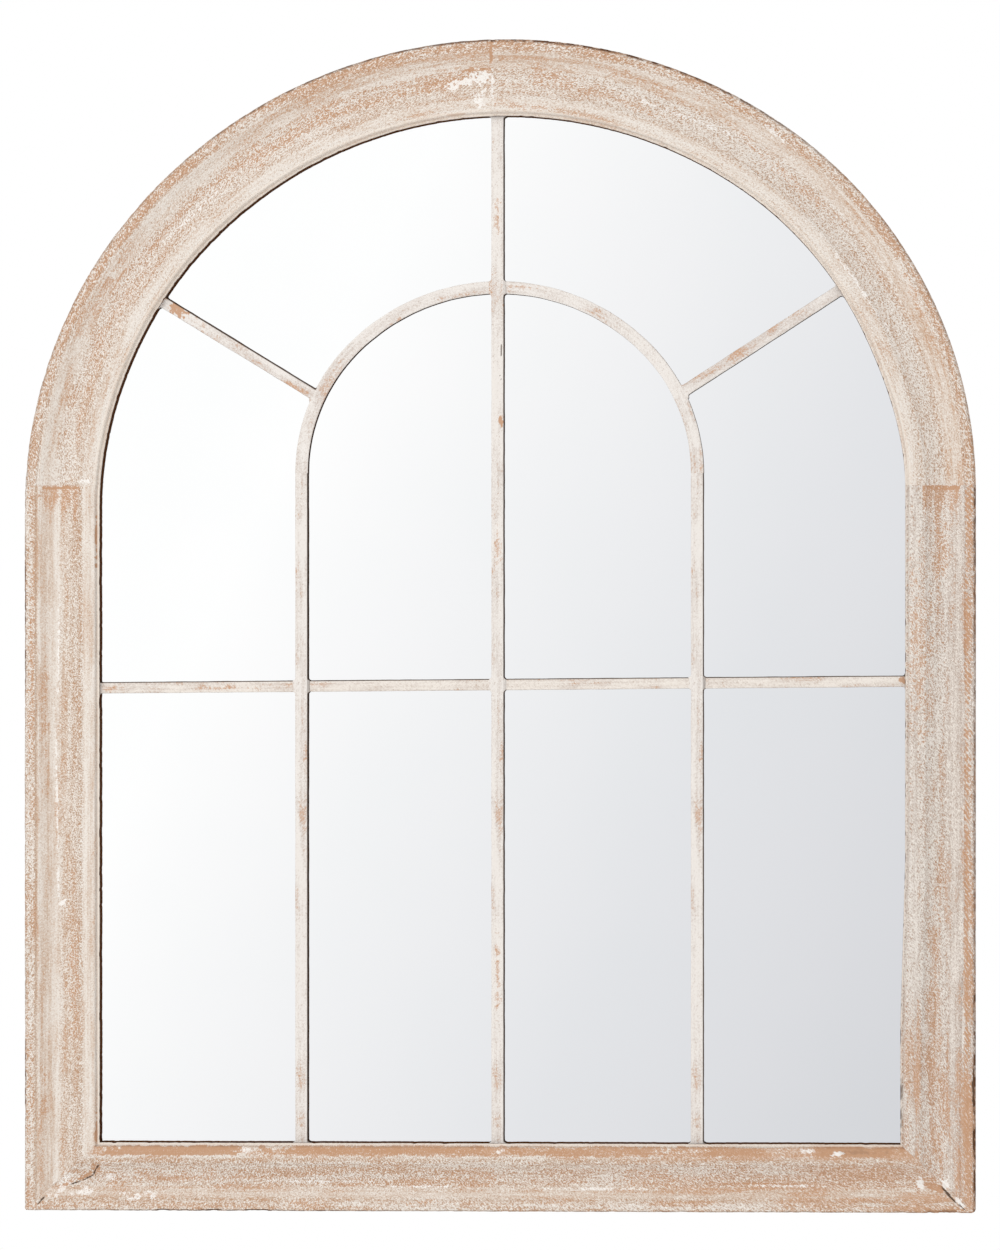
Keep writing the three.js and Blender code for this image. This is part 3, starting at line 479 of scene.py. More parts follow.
# %% Marks
MARKS = [
    # the rail: bare strip under the lip, rubbed streaks in the cove, dashes on the outer band
    ("strip", -276, 50.6, 57, 3.9, 0), ("chalky", -107, 50.6, 97, 3.9, 0), ("chalky", 82, 50.6, 77, 3.9, 0),
    ("chalky", 196, 50.6, 23, 3.7, 0), ("strip", 302, 50.4, 34, 3.9, 0), ("rusty", 302, 50.4, 33, 3.6, 0),
    ("specks", -268, 29, 70, 6, 0), ("specks", -21, 28, 42, 5.5, 0), ("specks", 130, 28, 36, 7, 0),
    ("strip", 214, 23.6, 30, 0.8, 0), ("specks", -168, 7.4, 28, 3.4, 0), ("specks", -67, 7.4, 20, 3.2, 0),
    ("specks", 46, 7.4, 16, 3.2, 0), ("strip", 371, 1.6, 12, 1.6, 0), ("stain", 371, 1.2, 12, 1.6, 0),
    ("specks", -320, 24, 22, 9, 0), ("smear", -150, 24.5, 55, 1.1, 0), ("smear", -60, 20.5, 40, 1.0, 0),
    ("smear", 90, 19, 60, 1.1, 0), ("smear", 250, 22, 45, 1.0, 0), ("smear", -295, 14, 26, 4, 4),
    ("smear", -212, 51.5, 6, 3.4, 0), ("smear", -2, 50.5, 7, 3, 0), ("smear", 166, 51.5, 5, 2.6, 0),
    ("smear", 258, 51.5, 7, 3, 0), ("filler", 284, 49, 4.4, 2.2, 0), ("warm", 320, 34, 60, 12, 0),
    ("dark", -240, 0.8, 8, 0.8, 0), ("dark", -205, 0.7, 12, 0.8, 0), ("dark", -284, 0.7, 6, 0.8, 0),
    # left mitre: a crack with flakes beside it and filler rubbed in around it
    ("smear", -372, 16, 11, 5, 30), ("smear", -350, 15, 14, 5, 10), ("smear", -366, 27, 10, 4, 40),
    ("smear", -330, 27, 10, 4, 10), ("specks", -339, 36, 5, 9, 10), ("strip", -366, 21.5, 6, 1.4, 33),
    ("strip", -349, 28.6, 6, 1.5, 26), ("strip", -341, 36, 2.4, 4, 57), ("dark", -339.4, 36.2, 3.6, 0.8, 57),
    ("dark", -341.9, 31.5, 2.6, 0.8, 68), ("dark", -347.8, 26.9, 6, 0.7, 26), ("dark", -357, 23.2, 4.8, 0.6, 17),
    ("dark", -385.8, 8.7, 5.8, 0.7, 48),
    # right mitre: an open slit, lumps of filler, rubbed wood between them
    ("filler", 353.6, 23.4, 3.4, 4.4, 0), ("filler", 373.4, 24.4, 2.6, 4.6, 20), ("filler", 386, 10, 5, 2.6, -40),
    ("strip", 366, 22, 8, 3.2, -25), ("dark", 377, 15.4, 11, 1.1, -47), ("dark", 388, 5.5, 4.5, 0.6, -48),
    ("specks", 352, 38, 8, 6, -40),
    # left stile
    ("specks", -359, 195, 7, 75, 0), ("warm", -383.5, 88, 9, 120, 0), ("warm", -396, 80, 6, 120, 0),
    ("specks", -383, 430, 5, 90, 0), ("specks", -394, 470, 4, 120, 0), ("filler", -368, 260, 3, 3.6, 0),
    ("bare", -339.6, 568, 1.4, 22, 0), ("bare", -339.6, 70, 1.4, 13, 0), ("smear", -373, 330, 1.2, 90, 1),
    ("smear", -372, 470, 1.1, 60, -1),
    # right stile
    ("specks", 391.6, 480, 4.4, 80, 0), ("specks", 391.6, 250, 4, 240, 0), ("specks", 366, 180, 5, 130, 0),
    ("specks", 352, 470, 16, 90, 0), ("warm", 392, 70, 6, 60, 0), ("dark", 398.0, 106, 1.2, 20, 0),
    ("dark", 398.2, 62, 1.1, 11, 0), ("dark", 337.6, 103, 1.0, 9, 0), ("dark", 337.6, 79, 1.0, 10, 0),
    ("warm", 366, 60, 30, 70, 0), ("specks", 372, 560, 10, 34, 0),
    # springing joints
    ("specks", -386, 601, 10, 8, 0), ("strip", -370, 608.4, 15, 1.1, 0), ("smear", -350, 614, 14, 2.4, 0),
    ("strip", 372, 608.2, 15, 1.6, 0), ("specks", 394, 596, 4, 26, 0), ("smear", 352, 616, 12, 2, 0),
    # arch, left and right
    ("specks", -184, 900, 95, 10, 30), ("specks", -60, 946, 60, 9, 10), ("specks", -270, 744, 9, 8, 55),
    ("specks", -330, 780, 60, 6, 62), ("specks", 240, 872, 80, 6, -42), ("specks", 120, 950, 80, 5, -17),
    ("specks", 352, 760, 60, 5, -66), ("smear", -250, 846, 50, 2, 43), ("smear", 150, 922, 60, 2.2, -21),
    ("smear", 300, 780, 50, 2, -55), ("smear", 232, 905, 22, 4, -38),
    # crown seam: filler, chips above it, stippled orange on both sides
    ("filler", -28, 949.5, 13, 3.6, 14), ("filler", -15, 951.5, 7, 6.5, 0), ("smear", -17, 933, 8, 10, 0),
    ("strip", -27, 959.6, 5.4, 1.1, 14), ("strip", -12.6, 960.4, 3.2, 1.2, 0), ("strip", -7, 974, 1.6, 9, 0),
    ("warm", 40, 950, 52, 14, -6), ("warm", -76, 946, 48, 13, 11),
    ("specks", -62, 952, 44, 13, 8), ("specks", -88, 938, 22, 7, 18), ("specks", 42, 954, 40, 12, -6),
    ("specks", 16, 929, 30, 4, -3), ("specks", 110, 930, 40, 6, -22), ("strip", -36, 921.8, 9, 0.9, 5),
    ("smear", -6, 948, 2, 18, 0),
]
# the layer that each kind of mark goes to, its strength, how soft its edge is, how ragged, and how square
LAYERS = ("bare", "filler", "dark")
KINDS = {
    "bare": ("bare", 1.0, 0.7, 1.0, 2),
    "specks": ("bare", 0.6, 1.2, 1.1, 2),
    "strip": ("bare", 1.0, 0.3, 0.4, 6),
    "chalky": ("bare", 0.84, 0.4, 0.7, 6),
    "warm": ("bare", 0.9, 2.4, 0.8, 2),
    "stain": ("dark", 0.5, 0.6, 0.8, 3),
    "rusty": ("dark", 0.42, 1.2, 1.0, 6),
    "filler": ("filler", 1.0, 0.5, 1.2, 2),
    "smear": ("filler", 0.72, 0.9, 1.3, 2),
    "dark": ("dark", 0.9, 0.5, 0.4, 2),
}


def mark_masks(x, z, front, seed, marks=MARKS):
    """
    For each kind of mark, how much of it lies at each point: 1 inside an oval, 0 outside, with an edge that
    fine blotches make ragged. The oval's outline is the power curve whose power is its squareness: 2 is an
    ellipse, 6 nearly a rectangle. front keeps the marks off the sides and the back.
    """
    ragged = 0.5 * cloud(x + 900, z + 900, (2.0, 2.0), seed) + 0.4 * cloud(x + 900, z + 900, (7, 7), seed + 1)
    masks = {layer: np.zeros_like(x) for layer in LAYERS}
    for kind, middle_x, middle_z, half_length, half_width, turn in marks:
        layer, strength, soft, rough, square = KINDS[kind]
        c, s = math.cos(math.radians(turn)), math.sin(math.radians(turn))
        along, across = (x - middle_x) * c + (z - middle_z) * s, (z - middle_z) * c - (x - middle_x) * s
        far = (np.abs(along / half_length) ** square + np.abs(across / half_width) ** square) ** (1 / square)
        inside = 1.2 - far + rough * ragged
        masks[layer] = np.maximum(masks[layer], strength * smooth_step(inside, 0.0, soft) * front)
    return masks


print("marks:", len(MARKS))

# %% [markdown]
# ## Building the five frame pieces
# The section is carried along its line, then worn: fine grains and long shallow streaks on the face, rounder
# and nicked edges, filler a little proud, bare patches and cracks a little sunk. The wear is always kept
# inside the sawn size, because rubbing back only takes wood away. The two lower outer corners are knocked soft,
# the right one more than the left.


# %% Frame builder
STREAK_RELIEF, GRAIN_RELIEF = 0.09, 0.11
FILLER_RISE, BARE_SINK, CRACK_SINK = 0.22, 0.16, 0.75
FRONT_FROM, FRONT_FULL = 20.5, 21.5
HIGHEST = 984.9


def soften_foot(x, z):
    """
    Rounds the two lower outer corners: a point nearer to the corner than the rounding's circle is drawn back
    towards the circle's centre until it lies on it.
    """
    radius = np.where(x > 0, FOOT_ROUNDING[1], FOOT_ROUNDING[-1])
    from_side, from_foot = radius - (HALF_WIDTH - np.abs(x)), radius - z
    far = np.hypot(from_side, from_foot)
    share = np.where((from_side > 0) & (from_foot > 0) & (far > radius), radius / np.maximum(far, 0.1), 1)
    return np.sign(x) * (HALF_WIDTH - radius + from_side * share), radius - from_foot * share


def moulded_length(lines, seed):
    """
    Carries the section along a piece's lines and wears it. Each point moves along the section's own outward
    direction by the sum of streaks, grains and marks, and is then kept inside the sawn outline.
    """
    u, w, face, along, place = lines
    step_u = np.roll(u, -1, axis=1) - np.roll(u, 1, axis=1)
    step_w = np.roll(w, -1, axis=1) - np.roll(w, 1, axis=1)
    length = np.hypot(step_u, step_w) + 1e-9
    out_u, out_w = -step_w / length, step_u / length
    x, z = place(u)
    front = smooth_step(w, FRONT_FROM, FRONT_FULL)
    masks = mark_masks(x, z, front, seed)
    streaks = cloud(along, u, (26, 2.1), seed + 2)
    grains = cloud(along, u + w, (1.9, 1.5), seed + 3)
    knocks = cloud(along, w - u, (5, 4), seed + 4)
    outer_edge = np.exp(-(((u - 0.5) / 1.4) ** 2)) * smooth_step(w, 25, 29)
    lip_edge = np.exp(-(((face - u) / 0.9) ** 2)) * smooth_step(w, 20, 23)
    relief = (STREAK_RELIEF * streaks + GRAIN_RELIEF * grains) * (0.25 + 0.75 * front)
    relief -= (outer_edge + 0.5 * lip_edge) * (0.15 + 0.9 * smooth_step(knocks, 0.25, 0.8))
    relief += FILLER_RISE * masks["filler"] - BARE_SINK * masks["bare"] - CRACK_SINK * masks["dark"]
    new_u = np.clip(u + relief * out_u, 0, None)
    new_w = np.clip(w + relief * out_w, 0, DEPTH)
    x, z = soften_foot(*place(new_u))
    grid = np.stack([x, DEPTH / 2 - new_w, np.clip(z, 0, HIGHEST)], axis=-1)
    board = np.stack([along, u, np.broadcast_to(face - u, u.shape)], axis=-1) * MM
    stored = {"board": board.reshape(-1, 3), **{kind: mask.ravel() for kind, mask in masks.items()}}
    stored["height"] = w.ravel() * MM
    return grid, stored


print("builder ready")

# %% [markdown]
# ## Shared effects
# The same few effects return in several finishes, so each is a node group with named inputs. Stipple is the
# fine grain of dried wash. Streaks are the long, thin marks of a brush or of wood grain. Both work on a
# position whose first number runs along the wood.


# %% Effect groups
def effect_group(name, inputs, outputs):
    """An empty node group whose sockets are given as name: default; a three-number default makes a vector."""
    tree = bpy.data.node_groups.new(name, "ShaderNodeTree")
    for label, default in inputs.items():
        kinds = {1: "NodeSocketFloat", 3: "NodeSocketVector", 4: "NodeSocketColor"}
        size = len(default) if isinstance(default, tuple) else 1
        socket = tree.interface.new_socket(label, in_out="INPUT", socket_type=kinds[size])
        socket.default_value = default
    for label, kind in outputs.items():
        tree.interface.new_socket(label, in_out="OUTPUT", socket_type="NodeSocket" + kind)
    entry = tree.nodes.new("NodeGroupInput")
    result = tree.nodes.new("NodeGroupOutput")
    return tree, entry.outputs, result.inputs


def use_group(tree, group, **sockets):
    """Puts a group into a tree. Underscores in the names stand for spaces."""
    made = tree.nodes.new("ShaderNodeGroup")
    made.node_tree = group
    for key, value in sockets.items():
        socket = made.inputs[key.replace("_", " ")]
        if isinstance(value, bpy.types.NodeSocket):
            tree.links.new(value, socket)
        else:
            socket.default_value = value
    return made.outputs


stipple, given, result = effect_group(
    "wash_stipple", {"Position": (0.0, 0.0, 0.0), "Grain": 0.0016}, {"Speckle": "Float", "Blotch": "Float"}
)
fine_scale = work(stipple, "DIVIDE", 1.0, given["Grain"])
fine = put(stipple, "TexNoise", {
    "Vector": given["Position"], "Scale": fine_scale, "Detail": 2.0, "Roughness": 0.6,
})
wide_scale = work(stipple, "MULTIPLY", fine_scale, 0.17)
wide = put(stipple, "TexNoise", {
    "Vector": given["Position"], "Scale": wide_scale, "Detail": 3.0, "Roughness": 0.55,
})
stipple.links.new(ease(stipple, fine.outputs[0], 0.36, 0.64), result["Speckle"])
stipple.links.new(ease(stipple, wide.outputs[0], 0.36, 0.64), result["Blotch"])

streaks, given, result = effect_group(
    "brush_streaks", {"Position": (0.0, 0.0, 0.0), "Length": 0.05, "Width": 0.002}, {"Streak": "Float"}
)
parts = put(streaks, "SeparateXYZ", {0: given["Position"]})
long_way = work(streaks, "DIVIDE", parts.outputs[0], given["Length"])
cross_way = work(streaks, "DIVIDE", parts.outputs[1], given["Width"])
deep_way = work(streaks, "DIVIDE", parts.outputs[2], given["Width"])
drawn = put(streaks, "CombineXYZ", {0: long_way, 1: cross_way, 2: deep_way})
lines_drawn = put(streaks, "TexNoise", {"Vector": drawn.outputs[0], "Scale": 1.0, "Detail": 3.0, "Roughness": 0.6})
streaks.links.new(ease(streaks, lines_drawn.outputs[0], 0.34, 0.66), result["Streak"])
print("groups:", stipple.name, streaks.name)

# %% [markdown]
# ## Worn limewash
# Limewash is a thin cream coat over a tan stain. It lies paler on the raised parts and thinner in the cove, it
# breaks up into grains, and where it was rubbed through it shows peach wood, then darker wood. One group does
# this for all five frame pieces and the bars: each gives it how pale and how rubbed each place is. Each number
# beside a pattern below is how much that pattern counts.

# %% Limewash group
CREAM = paint(236, 228, 219)
WARM_TAN = paint(204, 178, 156)
GREY_TAN = paint(191, 176, 165)
PEACH = paint(204, 162, 131)
BARE_WOOD = paint(198, 155, 123)
CREST = paint(250, 243, 235)
PIT = paint(160, 127, 103)
FILLER_WHITE = paint(252, 248, 243)
CRACK = paint(78, 60, 46)

limewash, given, result = effect_group(
    "worn_limewash",
    {
        "Position": (0.0, 0.0, 0.0), "Pale": 0.5, "Rubbed": 0.2, "Bare": 0.0, "Filler": 0.0, "Crack": 0.0,
        "Coarse": 1.0, "Slant": 0.8, "Undercoat": WARM_TAN, "Topcoat": CREAM,
    },
    {"Color": "Color", "Roughness": "Float", "Height": "Float"},
)


def about_zero(value):
    """A 0 to 1 pattern moved to run from minus a half to a half."""
    return work(limewash, "SUBTRACT", value, 0.5)


def with_pattern(total, pattern, share, clamp=False):
    """The total, plus a share of a 0 to 1 pattern that may raise or lower it."""
    return work(limewash, "MULTIPLY_ADD", about_zero(pattern), share, total, clamp=clamp)


def with_grains(total, share):
    """The total, plus a share of the grains."""
    return work(limewash, "MULTIPLY_ADD", grains, share, total)


leaning = put(
    limewash, "VectorRotate", {"Vector": given["Position"], "Angle": given["Slant"]}, rotation_type="Z_AXIS"
)
counter = work(limewash, "MULTIPLY", given["Slant"], -0.6)
crossed = put(limewash, "VectorRotate", {"Vector": given["Position"], "Angle": counter}, rotation_type="Z_AXIS")
dash = use_group(limewash, streaks, Position=leaning.outputs[0], Length=0.0022, Width=0.0009)["Streak"]
cross_dash = use_group(limewash, streaks, Position=crossed.outputs[0], Length=0.0017, Width=0.00095)["Streak"]
dots = use_group(limewash, stipple, Position=given["Position"], Grain=0.0009)
long_streak = use_group(limewash, streaks, Position=given["Position"], Length=0.06, Width=0.0017)["Streak"]
broad_streak = use_group(limewash, streaks, Position=given["Position"], Length=0.15, Width=0.006)["Streak"]
patch = use_group(limewash, streaks, Position=given["Position"], Length=0.045, Width=0.011)["Streak"]
grains = with_pattern(with_pattern(about_zero(dash), cross_dash, 0.75), dots["Speckle"], 0.6)
grains = work(limewash, "MULTIPLY", grains, given["Coarse"])
cover = with_pattern(with_grains(given["Pale"], 0.85), long_streak, 0.28)
cover = with_pattern(with_pattern(cover, broad_streak, 0.38), patch, 0.34, clamp=True)
colour = mix_colour(limewash, cover, given["Undercoat"], given["Topcoat"])
rub = with_pattern(with_pattern(given["Rubbed"], dots["Blotch"], 0.12), broad_streak, -0.4)
rub = with_grains(with_pattern(rub, patch, -0.44), -0.58)
colour = mix_colour(limewash, ease(limewash, rub, 0.25, 0.75, 0.0, 0.92), colour, PEACH)
colour = mix_colour(limewash, ease(limewash, grains, 0.15, 0.8, 0.0, 0.6), colour, CREST)
colour = mix_colour(limewash, ease(limewash, grains, -0.15, -0.8, 0.0, 0.6), colour, PIT)
bare = with_pattern(with_grains(given["Bare"], -0.5), long_streak, -0.2)
colour = mix_colour(limewash, ease(limewash, bare, 0.3, 0.8, 0.0, 0.92), colour, BARE_WOOD)
filled = with_grains(given["Filler"], 0.4)
colour = mix_colour(limewash, ease(limewash, filled, 0.3, 0.85, 0.0, 0.92), colour, FILLER_WHITE)
colour = mix_colour(limewash, ease(limewash, given["Crack"], 0.25, 0.8, 0.0, 0.9), colour, CRACK)
limewash.links.new(colour, result["Color"])
limewash.links.new(ease(limewash, cover, 0.0, 1.0, 0.75, 0.92), result["Roughness"])
limewash.links.new(with_pattern(grains, long_streak, 0.3), result["Height"])
print("limewash group nodes:", len(limewash.nodes))

# %% [markdown]
# ## Raw wood
# The back of the frame, the rebate and the dowels were never painted. Raw wood is two browns in long streaks
# with slow rings across them.

# %% Raw wood group
raw_wood, given, result = effect_group(
    "raw_wood",
    {"Position": (0.0, 0.0, 0.0), "Light": paint(205, 170, 130), "Dark": paint(150, 108, 72)},
    {"Color": "Color", "Height": "Float"},
)
fibre = use_group(raw_wood, streaks, Position=given["Position"], Length=0.06, Width=0.0009)["Streak"]
figure = use_group(raw_wood, streaks, Position=given["Position"], Length=0.22, Width=0.008)["Streak"]
grain_sum = work(raw_wood, "MULTIPLY_ADD", figure, 0.65, work(raw_wood, "MULTIPLY", fibre, 0.35))
raw_wood.links.new(mix_colour(raw_wood, grain_sum, given["Dark"], given["Light"]), result["Color"])
raw_wood.links.new(fibre, result["Height"])
print("raw wood group nodes:", len(raw_wood.nodes))

# %% [markdown]
# ## Frame finish
# Each piece has the same wash, but the brush and the rubbing went differently, so each gets its own three ramps
# across the face, from the outer edge to the sight edge: how pale the wash is, how far it is rubbed, and how
# coarse its grains are. Two more run along the piece, for wear and for the dark outer edge. Height above the
# back then tells the sides from the face: the inner side of the lip is dark brown, partly stain and partly
# painted shade, and everything behind it is raw wood. Cream along the sight edge is a painted highlight, and
# peach in the cove just under the springing joint is a painted shadow.

# %% Frame finish
# the lip's inner side is dark brown: partly stain, partly painted shade
LIP_STAIN_AND_SHADE = paint(84, 53, 34)
# painted highlight: cream laid along the sight edge, over the lip and the raised band's shaded inner slope
LIP_HIGHLIGHT_CREAM = paint(244, 232, 219)
EDGE_STAIN = paint(98, 68, 49)
FACE_REACH = 0.066
STAIN_AND_SHADE_TOP = 0.0240
STAIN_AND_SHADE_EDGE = 0.0006
# slopes in metres, each from where an effect starts to where it is full
OUTER_BAND = (0.0105, 0.0085)
INNER_SIDE = (0.0012, 0.0002)
OFF_OUTER_SIDE = (0.0001, 0.0006)
BEHIND_LIP = (0.0112, 0.0108)
BACK_EDGE = (0.0035, 0.0005)
NEAR_TOP = (0.0262, 0.0285)
JOINT_END = (0.93, 0.99)
JOINT_COVE = (0.0125, 0.0445)
SAW_LEAN = 0.75
SAW_SCALE = 85.0


def new_finish(name):
    """An empty material and its tree, with a Principled shader wired to the output."""
    finish = bpy.data.materials.new(name)
    finish.use_nodes = True
    tree = finish.node_tree
    shader = tree.nodes["Principled BSDF"]
    return finish, tree, shader


def add_relief(tree, shader, height, strength, distance):
    """Lets a pattern raise the surface by up to distance, in metres."""
    bump = put(tree, "Bump", {"Height": height, "Strength": strength, "Distance": distance})
    tree.links.new(bump.outputs[0], shader.inputs["Normal"])


def stored_masks(tree):
    """The three mark layers that a piece keeps on its points."""
    return {layer: put(tree, "Attribute", attribute_name=layer).outputs["Fac"] for layer in LAYERS}


def value_ramp(tree, value, stops_at):
    """A curve through (position, amount) pairs."""
    made = put(tree, "ValToRGB", {0: value})
    line = made.color_ramp
    line.interpolation = "LINEAR"
    for index, (position, amount) in enumerate(stops_at):
        stop = line.elements[index] if index < 2 else line.elements.new(position)
        stop.position = position
        stop.color = (amount, amount, amount, 1)
    return made.outputs[0]


def between(tree, value, low, high, soft):
    """1 where the value lies between low and high, and an eased slope of the given width on both sides."""
    return work(tree, "MULTIPLY", ease(tree, value, low - soft, low), ease(tree, value, high + soft, high))


def frame_finish(name, offset, undercoat, across_face, along_piece, slant, rim, sight_line, highlight_edge, hatch=0.0,
                 joint=0.0):
    """
    Worn limewash on the face and outer side, dark brown on the inner side of the lip, partly stain and partly
    painted shade, raw wood behind. across_face holds the ramps for pale, rubbed and coarse. along_piece holds
    where the piece starts and ends, a ramp for wear, where a half is the usual, and a ramp for the dark outer
    edge. rim is that edge's width in metres and strength; sight_line is where the brown line beside the lip
    starts and ends, measured from the sight edge, and its strength; highlight_edge is how far a painted
    highlight in cream reaches from the sight edge, and its strength; hatch is how deep the saw marks show;
    joint is how strong a painted shadow is, laid as peach rubbed wood in the cove just under the springing joint.
    """
    pale, rubbed, coarse = across_face
    run_start, run_end, wear, rim_wear = along_piece
    finish, tree, shader = new_finish(name)
    board = put(tree, "Attribute", attribute_name="board").outputs["Vector"]
    board_parts = put(tree, "SeparateXYZ", {0: board})
    height = put(tree, "Attribute", attribute_name="height").outputs["Fac"]
    spot = put(tree, "CombineXYZ", {0: board_parts.outputs[0], 1: board_parts.outputs[1], 2: height})
    moved = put(tree, "Mapping", {"Vector": spot.outputs[0], "Location": (offset, offset * 0.37, 0)}).outputs[0]
    across = work(tree, "DIVIDE", board_parts.outputs[1], FACE_REACH, clamp=True)
    masks = stored_masks(tree)
    patchy = use_group(tree, streaks, Position=moved, Length=0.03, Width=0.004)["Streak"]
    nicks = use_group(tree, streaks, Position=moved, Length=0.007, Width=0.004)["Streak"]
    run = {"Value": board_parts.outputs[0], "From Min": run_start, "From Max": run_end}
    along = put(tree, "MapRange", {**run, "To Min": 0.0, "To Max": 1.0}).outputs[0]
    worn_more = work(tree, "SUBTRACT", value_ramp(tree, along, wear), 0.5)
    # painted shadow: the cove just under the springing joint is rubbed to peach, as the shade below the joint's
    # step
    shadow_under_joint = work(tree, "MULTIPLY", ease(tree, along, *JOINT_END, 0.0, joint),
                       between(tree, board_parts.outputs[1], *JOINT_COVE, 0.0012))
    pale_here = work(tree, "MULTIPLY_ADD", worn_more, -0.5, value_ramp(tree, across, pale))
    rubbed_here = work(tree, "MULTIPLY_ADD", worn_more, 0.8, value_ramp(tree, across, rubbed))
    rubbed_here = work(tree, "ADD", rubbed_here, shadow_under_joint)
    saw_marks = put(tree, "TexWave", {
        "Vector": put(tree, "Mapping", {"Vector": moved, "Rotation": (0, 0, SAW_LEAN)}).outputs[0],
        "Scale": SAW_SCALE, "Distortion": 1.2, "Detail": 1.0,
    }).outputs["Fac"]
    outer_band = ease(tree, board_parts.outputs[1], *OUTER_BAND)
    hatched = work(tree, "MULTIPLY", work(tree, "MULTIPLY", saw_marks, outer_band), hatch)
    bare = work(tree, "MULTIPLY_ADD", work(tree, "GREATER_THAN", masks["bare"], 0.02), hatched, masks["bare"])
    washed = use_group(
        tree, limewash, Position=moved, Pale=pale_here, Rubbed=rubbed_here, Bare=bare, Filler=masks["filler"],
        Crack=masks["dark"], Coarse=value_ramp(tree, across, coarse), Slant=slant, Undercoat=undercoat,
    )
    bare_back = use_group(tree, raw_wood, Position=moved)
    inner = ease(tree, board_parts.outputs[2], *INNER_SIDE)
    # dark brown on the lip's inner side, below its front: partly stain, partly painted shade
    low = ease(tree, height, STAIN_AND_SHADE_TOP, STAIN_AND_SHADE_TOP - STAIN_AND_SHADE_EDGE)
    stain_and_shade = work(tree, "MULTIPLY", inner, low)
    behind = ease(tree, height, *BEHIND_LIP)
    not_outer = ease(tree, board_parts.outputs[1], *OFF_OUTER_SIDE)
    back_edge = ease(tree, height, *BACK_EDGE)
    raw = work(tree, "MAXIMUM", work(tree, "MULTIPLY", behind, not_outer), back_edge)
    broken = ease(tree, patchy, 0.15, 0.7, 0.4, 1.0)
    near_top = ease(tree, height, *NEAR_TOP)
    outer_rim = work(tree, "MULTIPLY", ease(tree, board_parts.outputs[1], rim[0], rim[0] * 0.3), near_top)
    nicked = work(tree, "MULTIPLY", ease(tree, nicks, 0.2, 0.65, 0.35, 1.0), rim[1])
    nicked = work(tree, "MULTIPLY", nicked, value_ramp(tree, along, rim_wear))
    outer_rim = work(tree, "MULTIPLY", outer_rim, nicked)
    line_start, line_end, line_strength = sight_line
    brown_line = between(tree, board_parts.outputs[2], line_start, line_end, 0.0007)
    brown_line = work(tree, "MULTIPLY", work(tree, "MULTIPLY", brown_line, broken), line_strength)
    # painted highlight: cream over the lip and the raised band's inner slope, near the sight edge
    painted_highlight = ease(tree, board_parts.outputs[2], highlight_edge[0], highlight_edge[0] - 0.0006, 0.0, highlight_edge[1])
    colour = mix_colour(tree, painted_highlight, washed["Color"], LIP_HIGHLIGHT_CREAM)
    colour = mix_colour(tree, outer_rim, colour, EDGE_STAIN)
    colour = mix_colour(tree, brown_line, colour, EDGE_STAIN)
    colour = mix_colour(tree, stain_and_shade, colour, LIP_STAIN_AND_SHADE)
    colour = mix_colour(tree, raw, colour, bare_back["Color"])
    tree.links.new(colour, shader.inputs["Base Color"])
    tree.links.new(washed["Roughness"], shader.inputs["Roughness"])
    add_relief(tree, shader, washed["Height"], 0.55, 0.00035)
    shader.inputs["Specular IOR Level"].default_value = 0.0
    return finish


# across each face, from the outer edge to the sight edge: (place, amount)
LEFT_PALE = [(0.0, 0.5), (0.1, 0.52), (0.135, 0.1), (0.155, 0.2), (0.18, 0.78), (0.21, 0.52), (0.34, 0.46),
             (0.38, 0.76), (0.43, 0.76), (0.47, 0.5), (0.6, 0.38), (0.72, 0.28), (0.75, 0.7), (0.9, 0.72)]
LEFT_RUBBED = [(0.0, 0.3), (0.12, 0.26), (0.15, 0.1), (0.33, 0.06), (0.38, 0.0), (0.45, 0.08), (0.6, 0.14),
               (0.72, 0.2), (0.76, 0.0), (0.9, 0.0)]
LEFT_COARSE = [(0.0, 1.1), (0.12, 1.0), (0.16, 0.5), (0.4, 0.45), (0.47, 0.8), (0.6, 1.1), (0.72, 1.3),
               (0.76, 0.5), (0.9, 0.4)]
RIGHT_PALE = [(0.0, 0.15), (0.05, 0.3), (0.13, 0.4), (0.16, 0.42), (0.2, 0.4), (0.36, 0.52), (0.42, 0.66),
              (0.48, 0.68), (0.7, 0.68), (0.78, 0.5), (0.82, 0.72), (0.9, 0.72)]
RIGHT_RUBBED = [(0.0, 0.4), (0.12, 0.3), (0.16, 0.1), (0.36, 0.06), (0.44, 0.16), (0.54, 0.22), (0.6, 0.14),
                (0.72, 0.05), (0.9, 0.05)]
RIGHT_COARSE = [(0.0, 1.0), (0.14, 0.7), (0.34, 0.7), (0.4, 1.1), (0.7, 1.2), (0.76, 0.6), (0.82, 1.1),
                (0.9, 1.0)]
ARCH_PALE = [(0.0, 0.38), (0.13, 0.38), (0.17, 0.6), (0.36, 0.62), (0.42, 0.6), (0.56, 0.54), (0.64, 0.45),
             (0.74, 0.6), (0.8, 0.8), (0.86, 0.8), (0.9, 0.7)]
ARCH_LEFT_RUBBED = [(0.0, 0.5), (0.12, 0.44), (0.16, 0.18), (0.22, 0.1), (0.34, 0.14), (0.44, 0.28),
                    (0.58, 0.28), (0.66, 0.14), (0.76, 0.0), (0.9, 0.02)]
ARCH_RIGHT_RUBBED = [(0.0, 0.48), (0.12, 0.4), (0.18, 0.18), (0.24, 0.12), (0.32, 0.14), (0.44, 0.1),
                     (0.6, 0.1), (0.68, 0.06), (0.76, 0.0), (0.9, 0.04)]
ARCH_COARSE = [(0.0, 1.2), (0.13, 1.1), (0.18, 0.6), (0.34, 0.6), (0.42, 1.2), (0.7, 1.1), (0.78, 0.6),
               (0.9, 0.7)]
